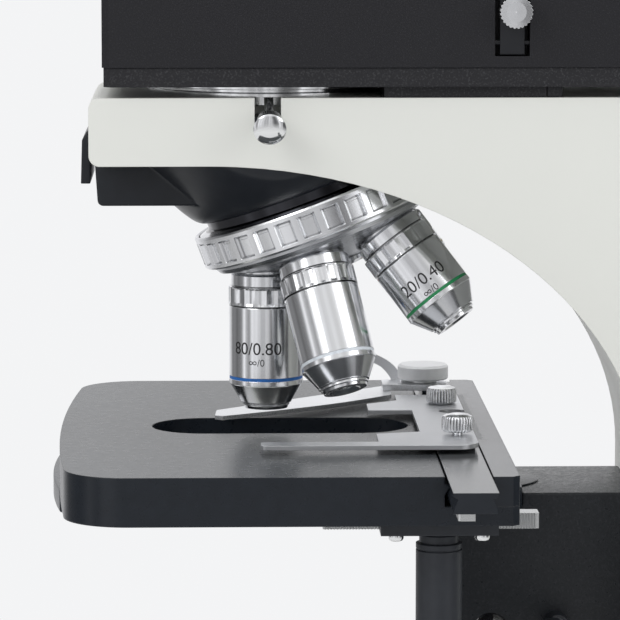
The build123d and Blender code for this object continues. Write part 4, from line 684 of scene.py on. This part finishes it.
def bezier(points, steps):
    """Points along a curve with two ends and two handles."""
    found = []
    for step in range(steps + 1):
        t = step / steps
        weights = ((1 - t) ** 3, 3 * t * (1 - t) ** 2, 3 * t * t * (1 - t), t ** 3)
        found.append(tuple(sum(w * p[axis] for w, p in zip(weights, points)) for axis in (0, 1)))
    return found


def nose():
    """The housing under the arm: a bowl that leans with the nosepiece, with a square toe before it."""
    start, end = BOWL_FLANK[0][1], BOWL_FLANK[-1][1]
    bowl = turned("bowl", [(0, start), *bezier(BOWL_FLANK, 28), (0, end)])
    bowl.transform(turret_place())
    side = (ARM_HALF - BOWL_CLEARANCE) * MM
    for vertex in bowl.vertices:
        x, y, z = vertex.co
        vertex.co = (x, max(-side, min(side, y)), min(z, (ARM_TOP - 6) * MM))
    low = ARM_BOTTOM - TOE_DROP
    toe = [(-54.3, ARM_BOTTOM), *arc((-51.7, low + 1.8), 1.8, 184, 270, 5), (-20, low), (0, ARM_BOTTOM)]
    toe_mesh = prism("toe", toe, -TOE_HALF, TOE_HALF, 0.5)
    piece(joined("nose_form", [(bowl, FLAT), (toe_mesh, SIDE)]), "stand", FLAT,
          [NOSE_BLACK], ["nose_housing"])


def front_cover():
    """The sloping cover on the front of the arm."""
    top, bottom, face = ARM_TOP - 11.5, ARM_BOTTOM - 6.8, ARM_FRONT - 3.0
    wedge = [(ARM_FRONT, bottom), (ARM_FRONT, top), (ARM_FRONT - 1, top), (face + 0.4, top - 2.9),
             (face, bottom)]
    piece(prism("front_wedge", wedge, -TOE_HALF, TOE_HALF, 0.3), "stand", SIDE,
          [NOSE_BLACK], ["front_cover"])


def lower_plate():
    """The plate under the stage, with its slot, the ear of the fixed rack and the round seat."""
    left, near, far, right = -65.7, -34.0, 66.0, 81.0
    corner, bow, slot_half = 6.0, 3.7, 17
    middle = (near + far) / 2
    bulge = [(left + bow * ((y - middle) / (far - middle)) ** 2 - bow, y)
             for y in (far + (near - far) * step / 24 for step in range(25))]
    outline = [*bulge, *arc((right - corner, near + corner), corner, 270, 360),
               *arc((right - corner, far - corner), corner, 0, 90)]
    slot = [*arc((29, 0), slot_half, -90, 90, 16), *arc((-20, 0), slot_half, 90, 270, 16)]
    plate = pierced("plate", [outline, slot], LOWER_BOTTOM, LOWER_TOP, 0.5)
    ear_outline = [(20, -72), (75, -72), (75, near + 1), (20, near + 1)]
    ear = prism("ear", ear_outline, LOWER_TOP - 4.1, LOWER_TOP, 0.3)
    seat = prism("seat", arc((68.4, 0), 20, 0, 352.5, 47), FOCUS_TOP, FOCUS_TOP + 0.6, 0.2)
    hub = prism("hub", arc((68.4, 0), 12, 0, 350, 35), FOCUS_TOP + 0.5, LOWER_TOP, 0.2)
    piece(joined("lower_plate", [(plate, FLAT), (ear, FLAT), (seat, FLAT), (hub, FLAT)]),
          "focus_slide", FLAT, [STAGE_BLACK], ["stage_lower_plate"])


def focusing_block():
    """The block that rides up the column, with its short nose under the stage."""
    front, step_back, back, tongue_back = 55, 81, 117.7, 125.7
    side = [(front, FOCUS_BOTTOM), (back, FOCUS_BOTTOM), (back, FOCUS_TOP), (step_back, FOCUS_TOP),
            (step_back, LOWER_BOTTOM), (front, LOWER_BOTTOM)]
    block = prism("block", side, -FOCUS_HALF, FOCUS_HALF, 0.8)
    tongue_side = [(116, FOCUS_BOTTOM), (tongue_back, FOCUS_BOTTOM), (tongue_back, FOCUS_TOP),
                   (116, FOCUS_TOP)]
    tongue = prism("tongue", tongue_side, -TONGUE_HALF, TONGUE_HALF, 0.4)
    piece(joined("focusing_block", [(block, SIDE), (tongue, SIDE)]), "focus_slide",
          FLAT, [BLOCK_BLACK], ["focus_block"])


def rod(name, start, end, radius):
    """A round rod between two points."""
    run = Vector(end) - Vector(start)
    rows = [(0, 0), (radius - 0.3, 0), (radius, 0.3), (radius, run.length - 0.3),
            (radius - 0.3, run.length), (0, run.length)]
    return turned(name, rows, steps=48), frame_at(Vector(start) * MM, run)


def ball(name, centre, radius):
    rows = [(radius * sin(pi * step / 24), -radius * cos(pi * step / 24)) for step in range(25)]
    rows[0] = (0, -radius)
    rows[-1] = (0, radius)
    return turned(name, rows, steps=72), Matrix.Translation(Vector(centre) * MM)


def clamp_lever():
    """The bent lever with a black ball that clamps the stage to the block."""
    elbow = (88, -41, 126)
    end = (68.6, -65, 130.2)
    stem = [rod("root", (92, -19, 125), (92, -35, 125), 4), rod("neck", (92, -33, 125), elbow, 3),
            ball("elbow", elbow, 3), rod("reach", elbow, end, 2.2)]
    knob = [ball("knob", end, 5.7)]
    piece(joined("clamp_stem", stem), "stage_clamp", FLAT, [NOSE_BLACK],
          ["stage_clamp_lever"])
    piece(joined("clamp_ball", knob), "stage_clamp", FLAT, [BALL])


def bracket_screws():
    """Pan-head screws that hold the drive's bracket up to the stage."""
    rows = [(0, 0), (2.3, 0), (2.3, 1.1), (2.0, 1.7), (1.4, 2.0), (1.2, 2.0), (1.2, 1.0), (0, 1.0)]
    for index, x in enumerate(BRACKET_SCREWS):
        mesh = turned(f"bracket_screw_{index}", rows, steps=48)
        place = frame_at((x * MM, -0.092, BRACKET_BOTTOM * MM), (0, 0, -1))
        piece(mesh, "stage", place, [MIRROR])


def scale_marks():
    """A millimetre scale along the top of the block beside the slider."""
    marks = []
    for step in range(101):
        y = SCALE_START + step
        reach = 3.6 if step % 10 == 0 else (2.8 if step % 5 == 0 else 2.0)
        outline = [(SCALE_EDGE, y - MARK_HALF), (SCALE_EDGE + reach, y - MARK_HALF),
                   (SCALE_EDGE + reach, y + MARK_HALF), (SCALE_EDGE, y + MARK_HALF)]
        marks.append((prism("mark", outline, 184.99, 185.015, 0.004), FLAT))
    piece(joined("scale_marks", marks), "stage", FLAT, [WHITE_INK])


scale_marks()
nose()
front_cover()
lower_plate()
focusing_block()
clamp_lever()
bracket_screws()


# Floor, light and camera

BACKDROP = (0.90, 0.905, 0.915, 1)
FLOOR_HALF = 8.0
FEET_BOTTOM = -0.003
# The distance from the middle at which the floor starts to fade into the backdrop, and has faded
FLOOR_FADE = (0.34, 0.56)

# Brightness of the studio round the object, by share of a turn from the back, over the left, front
# and right, as bright metal mirrors it
STUDIO = [(0.0, 0.90), (0.09, 0.82), (0.15, 0.22), (0.26, 0.20), (0.30, 0.90), (0.345, 0.30), (0.375, 0.92),
          (0.435, 0.86), (0.455, 0.48), (0.49, 0.82), (0.54, 0.24), (0.585, 0.28), (0.60, 0.80), (0.65, 0.78),
          (0.67, 0.10), (0.78, 0.08), (0.80, 0.60), (0.84, 0.10), (0.92, 0.85), (1.0, 0.90)]
STREAKS = 26
STREAK_GAIN = (0.55, 1.22)
# Where each end of the studio starts, where it is full, and its brightness
CEILING = (0.35, 0.7, 0.95)
GROUND = (-0.3, -0.6, 0.62)
ROOM_LIGHT = 0.62

SOFTBOXES = [
    ("key", (-1.1, -1.0, 1.3), (0, 0, 0.2), 1.0, 1.0, 9),
    ("fill", (1.3, -0.9, 0.9), (0.05, 0, 0.2), 0.8, 1.2, 5),
    ("top", (0, 0.2, 1.8), (0, 0, 0.2), 1.2, 1.2, 8),
]
CAMERA_PLACE = (-0.01909, -1.2381, 0.37165)
CAMERA_DOWN = 6.858
CAMERA_ASIDE = -1.541
CAMERA_LENS = 224.04


def floor():
    """A pale floor that takes the shadow and fades into the backdrop."""
    half = FLOOR_HALF
    corners = [(x, y, FEET_BOTTOM) for x, y in ((-half, -half), (half, -half), (half, half), (-half, half))]
    mesh = bpy.data.meshes.new("floor")
    mesh.from_pydata(corners, [], [(0, 1, 2, 3)])
    obj = bpy.data.objects.new("floor", mesh)
    bpy.context.scene.collection.objects.link(obj)
    s = Shader("floor_paper", (0.80, 0.80, 0.80), 0.9)
    coordinates = s.add("TexCoord")
    length = s.add("VectorMath", operation="LENGTH")
    s.link(coordinates.outputs["Object"], length.inputs[0])
    fade = s.spread(length.outputs["Value"], 0, 1, *FLOOR_FADE)
    glow = s.add("Emission")
    glow.inputs["Color"].default_value = BACKDROP
    path = s.add("LightPath")
    clear = s.add("BsdfTransparent")
    far = s.add("MixShader")
    s.link(path.outputs["Is Glossy Ray"], far.inputs["Fac"])
    s.link(glow.outputs["Emission"], far.inputs[1])
    s.link(clear.outputs["BSDF"], far.inputs[2])
    mix = s.add("MixShader")
    s.link(fade, mix.inputs["Fac"])
    s.link(s.out.outputs["BSDF"], mix.inputs[1])
    s.link(far.outputs["Shader"], mix.inputs[2])
    surface = next(n for n in s.tree.nodes if n.type == "OUTPUT_MATERIAL")
    s.link(mix.outputs["Shader"], surface.inputs["Surface"])
    mesh.materials.append(s.material)


def world():
    """The backdrop for the camera, an even light, and a streaked studio for bright metal to mirror."""
    studio = bpy.data.worlds.new("studio")
    bpy.context.scene.world = studio
    studio.use_nodes = True
    tree = studio.node_tree
    tree.nodes.clear()
    link = tree.links.new

    def add(kind, **settings):
        return add_node(tree, kind, **settings)

    def background(strength):
        node = add("Background")
        node.inputs["Strength"].default_value = strength
        return node

    def fitted(value, start, end, low=0, high=1):
        node = add("MapRange")
        node.inputs["From Min"].default_value = start
        node.inputs["From Max"].default_value = end
        node.inputs["To Min"].default_value = low
        node.inputs["To Max"].default_value = high
        link(value, node.inputs["Value"])
        return node.outputs["Result"]

    out = add("OutputWorld")
    seen = background(1.0)
    seen.inputs["Color"].default_value = BACKDROP
    lit = background(ROOM_LIGHT)
    lit.inputs["Color"].default_value = (1, 1, 1, 1)
    mirrored = background(1.0)

    direction = add("TexCoord")
    split = add("SeparateXYZ")
    link(direction.outputs["Generated"], split.inputs[0])
    turn = add("Math", operation="ARCTAN2")
    flip = add("Math", operation="MULTIPLY")
    flip.inputs[1].default_value = -1
    link(split.outputs["Y"], flip.inputs[0])
    link(split.outputs["X"], turn.inputs[0])
    link(flip.outputs[0], turn.inputs[1])
    share = fitted(turn.outputs[0], -pi, pi)
    ramp = add("ValToRGB")
    ramp.color_ramp.interpolation = "EASE"
    stops = ramp.color_ramp.elements
    for index, (place, value) in enumerate(STUDIO):
        stop = stops[index] if index < 2 else stops.new(place)
        stop.position = place
        stop.color = (value, value, value * 1.02, 1)
    link(share, ramp.inputs["Fac"])
    streaks = add("TexNoise", noise_dimensions="1D")
    streaks.inputs["Scale"].default_value = STREAKS
    streaks.inputs["Detail"].default_value = 3
    link(share, streaks.inputs["W"])
    streaked = add("VectorMath", operation="SCALE")
    link(ramp.outputs["Color"], streaked.inputs[0])
    link(fitted(streaks.outputs["Fac"], 0.3, 0.7, *STREAK_GAIN), streaked.inputs["Scale"])
    last = streaked.outputs[0]
    for start, end, value in (CEILING, GROUND):
        mix = add("MixRGB")
        mix.inputs["Color2"].default_value = (value, value, value, 1)
        link(fitted(split.outputs["Z"], start, end), mix.inputs["Fac"])
        link(last, mix.inputs["Color1"])
        last = mix.outputs["Color"]
    link(last, mirrored.inputs["Color"])

    path = add("LightPath")
    camera_or_glass = add("Math", operation="MAXIMUM")
    link(path.outputs["Is Camera Ray"], camera_or_glass.inputs[0])
    link(path.outputs["Is Transmission Ray"], camera_or_glass.inputs[1])
    inner = add("MixShader")
    link(path.outputs["Is Glossy Ray"], inner.inputs["Fac"])
    link(lit.outputs[0], inner.inputs[1])
    link(mirrored.outputs[0], inner.inputs[2])
    outer = add("MixShader")
    link(camera_or_glass.outputs[0], outer.inputs["Fac"])
    link(inner.outputs[0], outer.inputs[1])
    link(seen.outputs[0], outer.inputs[2])
    link(outer.outputs[0], out.inputs["Surface"])


def softbox(name, spot, aim, width, height, power):
    """A rectangular lamp at a spot, turned to what it lights."""
    light = bpy.data.lights.new(name, "AREA")
    light.shape = "RECTANGLE"
    light.size = width
    light.size_y = height
    light.energy = power
    obj = bpy.data.objects.new(name, light)
    obj.location = spot
    obj.rotation_euler = (Vector(aim) - Vector(spot)).to_track_quat("-Z", "Y").to_euler()
    bpy.context.scene.collection.objects.link(obj)


def camera():
    data = bpy.data.cameras.new("camera")
    data.sensor_width = 36
    data.lens = CAMERA_LENS
    data.clip_end = 50
    obj = bpy.data.objects.new("camera", data)
    obj.location = CAMERA_PLACE
    obj.rotation_euler = (radians(90 - CAMERA_DOWN), 0, radians(CAMERA_ASIDE))
    bpy.context.scene.collection.objects.link(obj)
    bpy.context.scene.camera = obj


floor()
world()
for values in SOFTBOXES:
    softbox(*values)
camera()
bpy.context.scene.view_settings.view_transform = "Standard"
